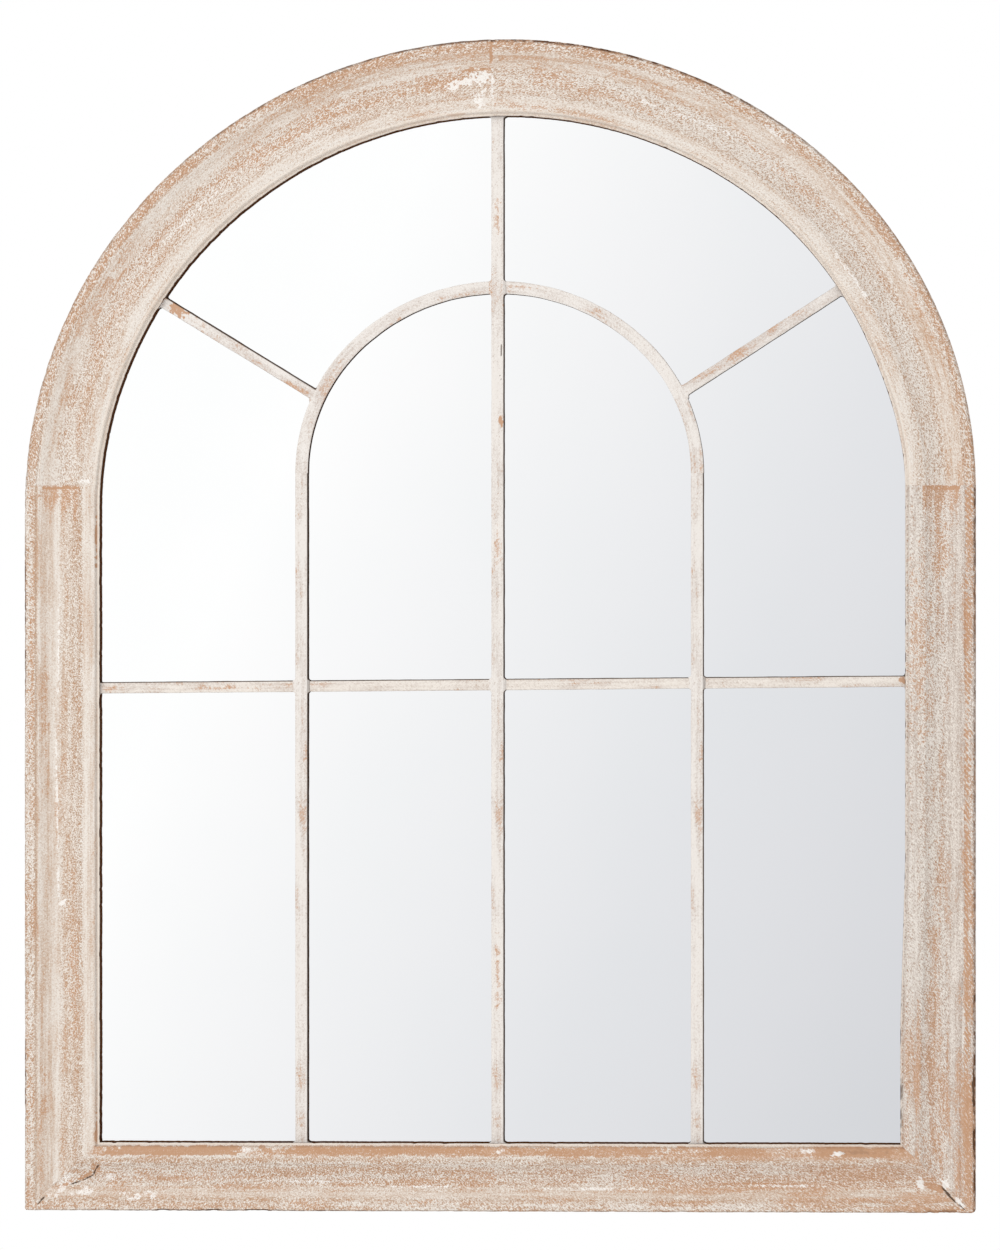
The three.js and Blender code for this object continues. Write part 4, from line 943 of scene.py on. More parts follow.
RAIL_PALE = [(0.0, 0.5), (0.11, 0.52), (0.15, 0.25), (0.2, 0.46), (0.3, 0.46), (0.36, 0.4), (0.45, 0.55),
             (0.55, 0.5), (0.62, 0.45), (0.66, 0.24), (0.69, 0.72), (0.72, 0.5), (0.82, 0.5), (0.84, 0.85)]
RAIL_RUBBED = [(0.0, 0.26), (0.12, 0.24), (0.2, 0.12), (0.3, 0.22), (0.36, 0.42), (0.46, 0.36), (0.6, 0.28),
               (0.66, 0.2), (0.7, 0.34), (0.74, 0.5), (0.82, 0.5), (0.84, 0.1)]
RAIL_COARSE = [(0.0, 1.0), (0.16, 0.9), (0.2, 0.6), (0.3, 0.8), (0.36, 1.3), (0.64, 1.3), (0.68, 0.8),
               (0.9, 0.6)]
ARCH_RIGHT_PALE = [(0.0, 0.34), (0.13, 0.36), (0.17, 0.5), (0.24, 0.42), (0.34, 0.48), (0.42, 0.64),
                   (0.56, 0.72), (0.64, 0.68), (0.74, 0.6), (0.8, 0.8), (0.86, 0.8), (0.9, 0.74)]
# along each piece, from its start to its end: first wear, then the dark outer edge
LEFT_WEAR = [(0.0, 0.52), (0.2, 0.54), (0.35, 0.54), (0.45, 0.58), (0.52, 0.5), (0.9, 0.46), (1.0, 0.56)]
RIGHT_WEAR = [(0.0, 0.92), (0.16, 0.88), (0.23, 0.66), (0.31, 0.52), (0.4, 0.64), (0.47, 0.62), (0.56, 0.52),
              (0.7, 0.44), (0.8, 0.45), (0.9, 0.58), (1.0, 0.72)]
RAIL_WEAR = [(0.0, 0.5), (0.5, 0.5), (0.7, 0.6), (0.85, 0.78), (1.0, 0.9)]
ARCH_LEFT_WEAR = [(0.0, 0.4), (0.15, 0.48), (0.3, 0.58), (0.42, 0.58), (0.52, 0.48), (0.65, 0.53), (0.78, 0.62),
                  (1.0, 0.66)]
ARCH_RIGHT_WEAR = [(0.0, 0.5), (0.15, 0.46), (0.3, 0.43), (0.6, 0.44), (0.75, 0.5), (0.85, 0.6), (1.0, 0.66)]
LEFT_RIM = [(0.0, 0.3), (0.12, 0.3), (0.15, 1.0), (0.21, 1.0), (0.25, 0.35), (0.7, 0.35), (0.74, 1.0),
            (0.9, 1.0), (0.93, 0.4)]
RIGHT_RIM = [(0.0, 1.0), (0.3, 1.0), (0.36, 0.65), (0.6, 0.65), (0.85, 0.75), (1.0, 1.0)]
RAIL_RIM = [(0.0, 0.4), (0.05, 0.5), (0.12, 1.0), (0.32, 1.0), (0.4, 0.6), (1.0, 0.6)]
ARCH_RIM = [(0.0, 0.4), (0.5, 0.42), (0.66, 0.85), (0.8, 1.0), (1.0, 1.0)]
STILE_RUN, RAIL_RUN, ARCH_RUN = (0.0, 0.6105), (-0.4, 0.4), (0.0, 0.594)
# the last pair in each call is the painted highlight along the sight edge: its reach in metres and its strength
finishes = {
    "left": frame_finish(
        "limewash_left_stile", 0.0, WARM_TAN, (LEFT_PALE, LEFT_RUBBED, LEFT_COARSE),
        (*STILE_RUN, LEFT_WEAR, LEFT_RIM), 0.8, (0.0018, 0.9), (0.0021, 0.0032, 0.14), (0.0022, 0.9), joint=0.4),
    "right": frame_finish(
        "limewash_right_stile", 2.0, GREY_TAN, (RIGHT_PALE, RIGHT_RUBBED, RIGHT_COARSE),
        (*STILE_RUN, RIGHT_WEAR, RIGHT_RIM), -0.8, (0.0034, 1.0), (0.0012, 0.0026, 0.18), (0.0011, 0.7), 0.6, 0.4),
    "arch_left": frame_finish(
        "limewash_arch_left", 4.0, WARM_TAN, (ARCH_PALE, ARCH_LEFT_RUBBED, ARCH_COARSE),
        (*ARCH_RUN, ARCH_LEFT_WEAR, ARCH_RIM), 0.5, (0.0026, 0.85), (0.0016, 0.0026, 0.1), (0.0062, 0.5)),
    "arch_right": frame_finish(
        "limewash_arch_right", 5.0, WARM_TAN, (ARCH_RIGHT_PALE, ARCH_RIGHT_RUBBED, ARCH_COARSE),
        (*ARCH_RUN, ARCH_RIGHT_WEAR, ARCH_RIM), -0.5, (0.0032, 1.0), (0.0016, 0.0026, 0.14), (0.0056, 0.4)),
    "rail": frame_finish(
        "limewash_rail", 6.0, WARM_TAN, (RAIL_PALE, RAIL_RUBBED, RAIL_COARSE),
        (*RAIL_RUN, RAIL_WEAR, RAIL_RIM), 0.8, (0.0015, 0.9), (0.0022, 0.0030, 0.2), (0.0021, 0.6)),
}
print("frame finishes:", sorted(finishes))

# %% [markdown]
# ## The five frame pieces
# Rows about a millimetre apart are fine enough for nicks and grains to have a shape, and stay under two
# hundred thousand triangles a piece.

# %% Frame pieces
FRAME_ROWS = 640
frame_plan = {
    "stile_left": (stile_lines(-1, FRAME_ROWS), "left", 11),
    "stile_right": (stile_lines(1, FRAME_ROWS), "right", 23),
    "arch_left": (arch_lines(-1, FRAME_ROWS), "arch_left", 37),
    "arch_right": (arch_lines(1, FRAME_ROWS), "arch_right", 51),
    "bottom_rail": (rail_lines(FRAME_ROWS), "rail", 67),
}
for node, (lines, look, seed) in frame_plan.items():
    grid, stored = moulded_length(lines, seed)
    piece = grid_piece(
        "moulded_" + node, grid, "frame", finishes[look], (node,), sharp=50, stored=stored
    )
    print(piece.name, "faces:", len(piece.data.polygons))

# %% [markdown]
# ## Glazing bars
# The bars are slim square sticks with eased front edges, painted cream after they were fixed, so the paint has
# rounded every inner corner. A bar is one section carried along its line. Where a bar's end meets the lip or
# another bar, and where another bar crosses an upright, the bar swells in a quarter circle, which is the paint
# in the corner; the inner arch and the tops of the legs have no such swell. Fronts differ by less than three
# tenths of a millimetre, as halved joints do, so that no two faces lie in one plane.

# %% Bar sizes and section
BAR_BACK = 11.0
BAR_FRONT = 20.5
BAR_WIDTH = 10.6
CROSS_WIDTH = 9.4
DIAGONAL_WIDTH = 9.6
BAR_EDGE = 0.9
PAINT_CORNER = 2.3
ROW_STEP = 1.0
LEG_FRONT, CROSS_FRONT, INNER_ARCH_FRONT, DIAGONAL_FRONT = 20.42, 20.3, 20.36, 20.24
BAR_MARKS = [
    # centre bar: a chip, a scratch, two dots and the paint at its foot
    ("bare", 0.6, 664, 2.6, 5.5, 0), ("dark", 1.4, 724, 0.5, 6, 0), ("dark", 0.0, 703, 0.7, 0.7, 0),
    ("dark", 1.0, 699.6, 0.7, 0.7, 0), ("smear", -2, 56, 5, 3, 0), ("specks", -1.7, 560, 4, 30, 0),
    ("specks", -1.7, 840, 4, 24, 0), ("specks", -1.7, 200, 3, 40, 0),
    # cross bar: warm wood at both ends
    ("bare", 338.6, 447.4, 3.2, 3.0, 0), ("specks", -326, 440, 16, 4.5, 0), ("specks", -230, 440, 40, 3, 0),
    # diagonals: worn where they meet the frame
    ("bare", -271, 760, 14, 7, -31), ("warm", -256, 751, 34, 14, -31), ("specks", 270, 752, 8, 5, 33),
    # inner arch: thin paint at its crown and haunches
    ("specks", -90, 742, 20, 4, 50), ("specks", 100, 732, 18, 4, -50), ("specks", 20, 777, 26, 3, 0),
]


def swell(position, places, radius=PAINT_CORNER):
    """
    The extra width of paint in the corners. places are (low, high) stretches that other pieces take up;
    outside each, the width falls off as a quarter circle: radius less the circle's height at that distance.
    """
    extra = np.zeros_like(position)
    for low, high in places:
        away = np.clip(np.maximum(low - position, position - high), 0, radius)
        extra = np.maximum(extra, radius - np.sqrt(radius**2 - (radius - away) ** 2))
    return extra


def bar_grid(line, across, position, width, front, places, seed):
    """
    Carries the bar's section along a line of (x, z) points. Each column keeps a share of the half width, an
    inset from it and a height; slow waves and fine grains then move the sides and the front a little.
    """
    ease_angles = np.radians([15, 45, 75])
    side_heights = np.linspace(BAR_BACK, front - BAR_EDGE, 6)
    eased = [(BAR_EDGE * (1 - math.cos(a)), front - BAR_EDGE * (1 - math.sin(a))) for a in ease_angles]
    left = [(-1, 0.0, h) for h in side_heights] + [(-1, inset, h) for inset, h in eased]
    right = [(-share, inset, h) for share, inset, h in reversed(left)]
    face = [(share, BAR_EDGE * (1 - abs(share)), front) for share in np.linspace(-0.8, 0.8, 9)]
    back = [(share, 0.0, BAR_BACK) for share in (0.5, 0.0, -0.5)]
    share, inset, height = np.array(left + face + right + back).T[:, None, :]
    half = (width / 2 + swell(position, places) + 0.1 * cloud(position, 0 * position, (9, 9), seed))[:, None]
    aside = share * (half - inset)
    spot = position[:, None] + 0 * aside
    worn = (height > front - 1.2) * (0.07 * cloud(spot, aside + 40, (1.7, 1.5), seed + 1)
                                     + 0.06 * cloud(spot, aside + 40, (14, 3), seed + 2))
    aside = aside + np.sign(share) * 0.05 * cloud(spot, height + 40, (2.4, 2.4), seed + 3)
    rise = height + worn
    x = line[:, 0, None] + across[:, 0, None] * aside
    z = line[:, 1, None] + across[:, 1, None] * aside
    grid = np.stack([x, DEPTH / 2 - rise + 0 * aside, z], axis=-1)
    stick = np.stack([spot, aside, np.broadcast_to(height, aside.shape)], axis=-1) * MM
    masks = mark_masks(x, z, smooth_step(height, front - 1.6, front - 0.8), seed + 4, BAR_MARKS)
    return grid, {"stick": stick.reshape(-1, 3), **{kind: mask.ravel() for kind, mask in masks.items()}}


print("bar section:", BAR_WIDTH, "x", BAR_FRONT - BAR_BACK, "mm")

# %% [markdown]
# ## Bar paint
# The same wash lies thicker on the bars and was hardly rubbed, so they are paler than the frame, with a few
# peach patches. Their sides are painted dark brown as shade, and show as fine dark lines beside each bar and
# in the glass; on some bars that painted shade reaches round one edge onto the front.

# %% Bar paint
# painted shade: the dark umber colour of the bars' sides
BAR_SIDE_SHADE = paint(70, 52, 40)
BAR_CREAM = paint(235, 229, 223)
BAR_TAN = paint(196, 182, 172)
BAR_SIDE = (0.01985, 0.0194)
BELOW_FRONT = (0.0206, 0.02025)


def bar_paint(name, offset, pale, rubbed, shade_round_edge=(0.0044, 0.0049, 0.0), topcoat=BAR_CREAM):
    """
    Worn limewash on the front, painted shade in dark brown on the sides. shade_round_edge is where that painted
    shade reaches round one edge onto the front: from and to, across the bar in metres, and its strength.
    """
    finish, tree, shader = new_finish(name)
    stick = put(tree, "Attribute", attribute_name="stick").outputs["Vector"]
    moved = put(tree, "Mapping", {"Vector": stick, "Location": (offset, 0.3, 0)}).outputs[0]
    patches = put(tree, "TexNoise", {"Vector": moved, "Scale": 38.0, "Detail": 2.0}).outputs[0]
    paleness = ease(tree, patches, 0.35, 0.65, pale - 0.12, pale + 0.1)
    rub = ease(tree, patches, 0.6, 0.38, rubbed - 0.15, rubbed + 0.2)
    masks = stored_masks(tree)
    washed = use_group(
        tree, limewash, Position=moved, Pale=paleness, Rubbed=rub, Coarse=0.42, Undercoat=BAR_TAN, Topcoat=topcoat,
        Bare=masks["bare"], Filler=masks["filler"], Crack=masks["dark"],
    )
    _, aside, height = put(tree, "SeparateXYZ", {0: stick}).outputs
    # painted shade reaching round one edge of the bar onto its front
    shaded_edge = work(tree, "MULTIPLY", ease(tree, aside, *shade_round_edge[:2]), ease(tree, height, *BELOW_FRONT))
    shaded_edge = work(tree, "MULTIPLY", shaded_edge, shade_round_edge[2])
    # painted shade: the bar's sides, below its front, are coloured dark
    side = work(tree, "MAXIMUM", ease(tree, height, *BAR_SIDE), shaded_edge)
    colour = mix_colour(tree, side, washed["Color"], BAR_SIDE_SHADE)
    tree.links.new(colour, shader.inputs["Base Color"])
    tree.links.new(washed["Roughness"], shader.inputs["Roughness"])
    add_relief(tree, shader, washed["Height"], 0.4, 0.00025)
    shader.inputs["Specular IOR Level"].default_value = 0.0
    return finish


# the tuple in a call is where painted shade reaches round one edge of the bar onto its front
bar_look = {
    "upright": bar_paint("bar_paint_uprights", 0.0, 0.84, 0.0, (-0.0043, -0.0048, 0.9)),
    "cross": bar_paint("bar_paint_cross_bar", 3.0, 0.72, 0.05, (0.0038, 0.0043, 0.9), CREAM),
    "arch": bar_paint("bar_paint_inner_arch", 5.0, 0.82, 0.0),
    "left diagonal": bar_paint("bar_paint_left_diagonal", 7.0, 0.7, 0.12, (-0.0034, -0.004, 0.95)),
    "right diagonal": bar_paint("bar_paint_right_diagonal", 8.0, 0.7, 0.12),
}
print("bar finishes:", sorted(bar_look))

# %% [markdown]
# ## Straight bars
# One upright runs from the rail to the crown, two legs stop where the inner arch begins, one bar crosses them
# with a slight slope, and two diagonals lean from the inner arch to the frame. Each ends a little inside what
# holds it.

# %% Straight bars
CENTRE_X, LEG_LEFT_X, LEG_RIGHT_X = -1.7, -167.0, 166.2
CROSS_HEIGHT = 442.9
CROSS_SLOPE = math.tan(math.radians(0.5))
ARCH_FOOT = 620.8
INNER_TOP = 776.914
CROWN_SIGHT = 920.7
RAIL_SIGHT = 57.1
CROSS_LEFT, CROSS_RIGHT = -337.8, 340.8
TUCK = 2.0
BEYOND = 9.0


def straight_bar(node, start, end, width, front, places, look, seed):
    """A bar between two points; position runs in millimetres from its start."""
    start, end = np.array(start), np.array(end)
    length = np.linalg.norm(end - start)
    way = (end - start) / length
    position = np.linspace(0, length, int(length / ROW_STEP) + 2)
    line = start + position[:, None] * way
    across = np.broadcast_to([-way[1], way[0]], line.shape)
    grid, stored = bar_grid(line, across, position, width, front, places, seed)
    return grid_piece("painted_" + node, grid, "frame", bar_look[look], (node,), stored=stored)


def tucked_ends(length):
    """The stretches at the two ends of a bar that lie inside what holds it, and on past the bar's end."""
    return [(-BEYOND, TUCK), (length - TUCK, length + BEYOND)]


def upright(node, x, top, front, crossings, seed):
    """An upright from the rail; crossings are the middle height and the width of what crosses it."""
    low = RAIL_SIGHT - TUCK
    places = [(middle - size / 2 - low, middle + size / 2 - low) for middle, size in crossings]
    places += tucked_ends(top - low) if top > INNER_TOP else tucked_ends(top - low)[:1]
    return straight_bar(node, (x, low), (x, top), BAR_WIDTH, front, places, "upright", seed)


crossing_at = {x: CROSS_HEIGHT + CROSS_SLOPE * x for x in (CENTRE_X, LEG_LEFT_X, LEG_RIGHT_X)}
centre_crossings = [(crossing_at[CENTRE_X], CROSS_WIDTH), (INNER_TOP, BAR_WIDTH)]
upright("bar_centre", CENTRE_X, CROWN_SIGHT + TUCK, BAR_FRONT, centre_crossings, 101)
for node, x, seed in (("bar_leg_left", LEG_LEFT_X, 105), ("bar_leg_right", LEG_RIGHT_X, 109)):
    upright(node, x, ARCH_FOOT + 0.2, LEG_FRONT, [(crossing_at[x], CROSS_WIDTH)], seed)
cross_ends = [(x, CROSS_HEIGHT + CROSS_SLOPE * x) for x in (CROSS_LEFT - TUCK, CROSS_RIGHT + TUCK)]
cross_places = tucked_ends(CROSS_RIGHT - CROSS_LEFT + 2 * TUCK)
straight_bar("bar_cross", *cross_ends, CROSS_WIDTH, CROSS_FRONT, cross_places, "cross", 113)
print("crossings:", {x: round(z, 1) for x, z in crossing_at.items()})

# %% [markdown]
# ## Inner arch and diagonals
# The inner arch has three centres too, and its centre line starts and ends on the legs. A diagonal starts on
# that line and points away from a point between the legs, so its start is where the pointing line leaves the
# haunch's circle: the answer of a quadratic.

# %% Inner arch and diagonals
INNER_HAUNCH = {-1: (-18.3, 620.8), 1: (17.5, 620.8)}
INNER_RADIUS = 148.7
INNER_TURN = math.radians(45)
INNER_CROWN = (-0.4, 602.9)
INNER_CROWN_RADIUS = 174.014
FOCUS_X = -0.4
# for each side: the height of the point it leans away from, its lean in degrees, its node and its finish
DIAGONALS = {
    -1: (591.5, 31.5, "bar_diagonal_left", "left diagonal"),
    1: (589.2, 32.9, "bar_diagonal_right", "right diagonal"),
}


def inner_arch_line():
    """Points, outward directions and travelled distance along the inner arch, from its right foot to its left."""
    angle = np.linspace(0, np.pi, 560)
    right, left = angle < INNER_TURN, angle > np.pi - INNER_TURN
    centre_x = np.select([right, left], [INNER_HAUNCH[1][0], INNER_HAUNCH[-1][0]], INNER_CROWN[0])
    centre_z = np.where(right | left, INNER_HAUNCH[1][1], INNER_CROWN[1])
    reach = np.where(right | left, INNER_RADIUS, INNER_CROWN_RADIUS)
    outwards = np.stack([np.cos(angle), np.sin(angle)], axis=-1)
    line = np.stack([centre_x, centre_z], axis=-1) + reach[:, None] * outwards
    travelled = np.concatenate([[0], np.cumsum(np.linalg.norm(np.diff(line, axis=0), axis=1))])
    return line, outwards, travelled


arch_line, arch_across, travelled = inner_arch_line()
grid, stored = bar_grid(arch_line, -arch_across, travelled, BAR_WIDTH, INNER_ARCH_FRONT, [], 117)
grid_piece(
    "painted_bar_inner_arch", grid, "frame", bar_look["arch"], ("bar_inner_arch",), stored=stored
)


def leave_circle(start, way, centre, radius):
    """The distance from start along way to the circle, for a start inside it."""
    offset = np.array(start) - np.array(centre)
    ahead = offset @ way
    return math.sqrt(ahead**2 - offset @ offset + radius**2) - ahead


for side, (focus_height, lean, node, look) in DIAGONALS.items():
    way = np.array([side * math.cos(math.radians(lean)), math.sin(math.radians(lean))])
    focus = np.array([FOCUS_X, focus_height])
    inner_edge = leave_circle(focus, way, INNER_HAUNCH[side], INNER_RADIUS) + BAR_WIDTH / 2
    haunch_x, haunch_z, haunch_radius, _ = HAUNCH[side]
    sight = leave_circle(focus, way, (haunch_x, haunch_z), haunch_radius - ARCH_FACE)
    start, end = focus + way * (inner_edge - TUCK), focus + way * (sight + TUCK)
    span = sight - inner_edge + 2 * TUCK
    straight_bar(node, start, end, DIAGONAL_WIDTH, DIAGONAL_FRONT, tucked_ends(span), look, 121 + side)
    print(node, "length:", round(span, 1))

# %% [markdown]
# ## Glass and backing board
# The mirror is a flat sheet, so its measured solid is kept, and only its finish is new: a full metal with
# almost no roughness, and a faint uneven haze, because no old sheet is perfectly clean. The board behind it is
# pressed brown fibre: short matted fibres, with slow cloudy patches.

# %% Glass and board
glass_finish, tree, shader = new_finish("silvered_mirror")
place = put(tree, "TexCoord").outputs["Object"]
haze = put(tree, "TexNoise", {"Vector": place, "Scale": 6.0, "Detail": 4.0}).outputs[0]
tree.links.new(ease(tree, haze, 0.3, 0.8, 0.004, 0.012), shader.inputs["Roughness"])
silver = mix_colour(tree, ease(tree, haze, 0.3, 0.8), paint(255, 255, 255), paint(253, 254, 254))
tree.links.new(silver, shader.inputs["Base Color"])
shader.inputs["Metallic"].default_value = 1.0

board_finish, tree, shader = new_finish("pressed_fibre_board")
place = put(tree, "TexCoord").outputs["Object"]
matted = use_group(tree, stipple, Position=place, Grain=0.0012)
fibres = put(tree, "TexVoronoi", {"Vector": place, "Scale": 420.0, "Randomness": 1.0}, feature="F1").outputs[0]
shade = work(tree, "MULTIPLY_ADD", matted["Speckle"], 0.35, work(tree, "MULTIPLY", matted["Blotch"], 0.4))
shade = work(tree, "MULTIPLY_ADD", fibres, 0.25, shade, clamp=True)
tree.links.new(mix_colour(tree, shade, paint(128, 88, 58), paint(170, 128, 92)), shader.inputs["Base Color"])
add_relief(tree, shader, shade, 0.4, 0.0003)
shader.inputs["Roughness"].default_value = 0.85

dowel_finish, tree, shader = new_finish("turned_dowel")
place = put(tree, "TexCoord").outputs["Object"]
turned_wood = use_group(tree, raw_wood, Position=place, Light=paint(214, 180, 138), Dark=paint(176, 134, 92))
tree.links.new(turned_wood["Color"], shader.inputs["Base Color"])
add_relief(tree, shader, turned_wood["Height"], 0.3, 0.0002)
shader.inputs["Roughness"].default_value = 0.75


def dress(node, finish):
    """Gives a measured solid its finish."""
    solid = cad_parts[node]
    solid.data.materials.clear()
    solid.data.materials.append(finish)


dress("mirror_glass", glass_finish)
dress("backing_board", board_finish)
dowels = [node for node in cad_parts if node.startswith("dowel_")]
for node in dowels:
    dress(node, dowel_finish)
print("dressed solids:", 2 + len(dowels))

# %% [markdown]
# ## Plated steel and rubber
# The fittings are zinc plated: a grey metal with cloudy patches in its shine and fine scratches. The pads are
# moulded black rubber, matt, with a dusty bloom.


# %% Plated steel and rubber
def plated_steel(name, light, dark, rough):
    """Zinc plate: two greys in small patches that the roughness follows, and fine scratches in the relief."""
    finish, tree, shader = new_finish(name)
    place = put(tree, "TexCoord").outputs["Object"]
    patches = use_group(tree, stipple, Position=place, Grain=0.0011)
    scratches = use_group(tree, streaks, Position=place, Length=0.012, Width=0.0002)["Streak"]
    shade = work(tree, "MULTIPLY_ADD", patches["Blotch"], 0.6, work(tree, "MULTIPLY", patches["Speckle"], 0.4))
    tree.links.new(mix_colour(tree, shade, dark, light), shader.inputs["Base Color"])
    tree.links.new(ease(tree, shade, 0.0, 1.0, rough + 0.14, rough), shader.inputs["Roughness"])
    add_relief(tree, shader, scratches, 0.15, 0.0001)
    shader.inputs["Metallic"].default_value = 1.0
    return finish


steel = {
    "sheet": plated_steel("plated_sheet", paint(186, 184, 178), paint(150, 148, 142), 0.32),
    "wire": plated_steel("plated_wire", paint(200, 198, 192), paint(168, 166, 160), 0.22),
    "screw": plated_steel("plated_screw", paint(178, 174, 160), paint(140, 136, 124), 0.3),
}
rubber, tree, shader = new_finish("black_rubber")
place = put(tree, "TexCoord").outputs["Object"]
bloom = use_group(tree, stipple, Position=place, Grain=0.0008)
dusty = mix_colour(tree, bloom["Blotch"], paint(36, 35, 34), paint(52, 51, 49))
tree.links.new(dusty, shader.inputs["Base Color"])
tree.links.new(ease(tree, bloom["Speckle"], 0.0, 1.0, 0.7, 0.9), shader.inputs["Roughness"])
add_relief(tree, shader, bloom["Speckle"], 0.3, 0.0002)
print("steel finishes:", sorted(steel))

# %% [markdown]
# ## Turn buttons
# A turn button is stamped from sheet: two half circles joined by straight sides, with a hole at one end. Each
# column of its grid goes out from the hole in one direction; the rows go over the top, round the eased rim
# and back under to the hole, so the piece is one closed ring of metal.

# %% Turn buttons
BUTTON_HALF = 6.0
BUTTON_REACH = 16.0
BUTTON_BACK, BUTTON_TOP = 15.3, 16.8
BUTTON_HOLE = 2.0
BUTTON_EASE = 0.35
TURN = math.radians(38)
BUTTONS = {
    "rail_left": ((-180.0, 40.1), (0, 1)), "rail_right": ((180.0, 40.1), (0, 1)),
    "stile_left": ((-354.8, 300.0), (1, 0)), "stile_right": ((357.8, 300.0), (-1, 0)),
    "arch_left": ((-281.238, 798.739), (math.cos(TURN), -math.sin(TURN))),
    "arch_right": ((283.719, 806.247), (-math.cos(TURN), -math.sin(TURN))),
}


def button_grid(pivot, way):
    """The outline is a stadium, the hole a circle; heights follow a section with quarter-round edges."""
    half_turn = np.linspace(-np.pi / 2, np.pi / 2, 25)
    straight = np.linspace(BUTTON_REACH, 0, 9)[1:-1]
    far = np.stack([BUTTON_REACH + BUTTON_HALF * np.cos(half_turn), BUTTON_HALF * np.sin(half_turn)], axis=-1)
    near = np.stack([-BUTTON_HALF * np.cos(half_turn), -BUTTON_HALF * np.sin(half_turn)], axis=-1)
    top_side = np.stack([straight, 0 * straight + BUTTON_HALF], axis=-1)
    low_side = np.stack([straight[::-1], 0 * straight - BUTTON_HALF], axis=-1)
    outline = np.concatenate([far, top_side, near, low_side])
    hole = BUTTON_HOLE * outline / np.linalg.norm(outline, axis=1)[:, None]
    corner = np.radians([0, 30, 60, 90])
    inward = np.linspace(0, 1, 7)[1:-1]
    rows = [(0.0, BUTTON_EASE * (1 - math.cos(a)), BUTTON_TOP - BUTTON_EASE * (1 - math.sin(a))) for a in corner]
    rows += [(share, BUTTON_EASE, BUTTON_TOP) for share in inward]
    rows += [(1.0, 0.0, BUTTON_TOP), (1.0, 0.0, BUTTON_BACK)]
    rows += [(share, 0.0, BUTTON_BACK) for share in inward[::-1]]
    rows += [(0.0, 0.2, BUTTON_BACK), (0.0, 0.0, BUTTON_BACK + 0.3)]
    share, inset, height = np.array(rows).T[:, :, None]
    outwards = outline / np.linalg.norm(outline, axis=1)[:, None]
    local = outline * (1 - share[..., None]) + hole * share[..., None] - outwards * inset[..., None]
    x = pivot[0] + local[..., 0] * way[0] - local[..., 1] * way[1]
    z = pivot[1] + local[..., 0] * way[1] + local[..., 1] * way[0]
    return np.stack([x, height + 0 * x, z], axis=-1)


for place_name, (pivot, way) in BUTTONS.items():
    node = "turn_button_" + place_name
    grid_piece("stamped_" + node, button_grid(pivot, way), "button_" + place_name,
               steel["sheet"], (node,), ring=True)
print("turn buttons:", len(BUTTONS))

# %% [markdown]
# ## Screws
# A screw is turned, so its rows are rings: from the point, up the threaded shank, under the head, over its
# dome. The thread is a ridge that climbs one pitch each turn, and the cross recess is pressed into the dome:
# both are heights added to the plain turned shape.

# %% Screws
SCREW_SIDES = 36
SCREW_PITCH = 1.3
CORE_RADIUS = 1.25
THREAD_HEIGHT = 0.4
POINT_LENGTH = 3.0
PLAIN_NECK = 2.0
RECESS_DEPTH = 1.1
# the head: radius, and height above its underside
HEAD = np.array([
    (3.0, 0.0), (3.35, 0.12), (3.4, 0.4), (3.3, 0.8), (3.0, 1.25), (2.5, 1.62), (2.0, 1.82),
    (1.6, 1.91), (1.2, 1.96), (0.9, 1.98), (0.6, 2.0), (0.3, 2.0), (0.08, 2.0),
])


def screw_grid(middle, tip, under, top):
    """Radius along the screw plus the thread's ridge, then the head's dome less the cross recess."""
    angle = np.linspace(0, 2 * np.pi, SCREW_SIDES, endpoint=False)[None, :]
    shank_y = np.linspace(tip, under, 60)[:, None]
    taper = np.clip((shank_y - tip) / POINT_LENGTH, 0.06, 1)
    phase = (shank_y / SCREW_PITCH - angle / (2 * np.pi)) % 1
    ridge = THREAD_HEIGHT * np.clip(1 - np.abs(phase - 0.5) / 0.28, 0, 1) * (shank_y < under - PLAIN_NECK)
    shank_r = (CORE_RADIUS + ridge) * taper
    head_r = HEAD[:, 0, None] + 0 * angle
    head_y = under + HEAD[:, 1, None] * (top - under) / 2 + 0 * angle
    across = np.minimum(np.abs(head_r * np.cos(angle)), np.abs(head_r * np.sin(angle)))
    recess = RECESS_DEPTH * (1 - smooth_step(across, 0.3, 0.55)) * (1 - smooth_step(head_r, 1.5, 2.1))
    radius = np.concatenate([shank_r + 0 * angle, head_r])
    height = np.concatenate([shank_y + 0 * angle, head_y - recess])
    x, z = middle[0] + radius * np.cos(angle), middle[1] + radius * np.sin(angle)
    return np.stack([x, height, z], axis=-1)


HANGER_HEIGHT = 690.0
HANGER_SCREWS = {"left_outer": -369.09, "left_inner": -355.09, "right_outer": 372.39, "right_inner": 358.39}
# each screw's point, the underside of its head and its top, along Y
BUTTON_SCREW = (5.1, 17.1, 19.1)
HANGER_SCREW = (6.0, 18.0, 20.0)
screws = {"turn_button_screw_" + name: (pivot, *BUTTON_SCREW) for name, (pivot, _) in BUTTONS.items()}
screws.update({"hanger_screw_" + name: ((x, HANGER_HEIGHT), *HANGER_SCREW) for name, x in HANGER_SCREWS.items()})
for node, (middle, tip, under, top) in screws.items():
    grid = screw_grid(middle, tip, under, top)
    grid_piece("turned_" + node, grid, "frame", steel["screw"], (node,))
print("screws:", len(screws))

# %% [markdown]
# ## Strap hangers and D-rings
# A strap is one strip of sheet, folded round the straight side of the ring and back on itself under two
# screws. Its section, a thin bar with eased edges, is carried along that folded line. The ring is round wire
# along a closed line: a straight side, two small corners, two short arms and a half circle.

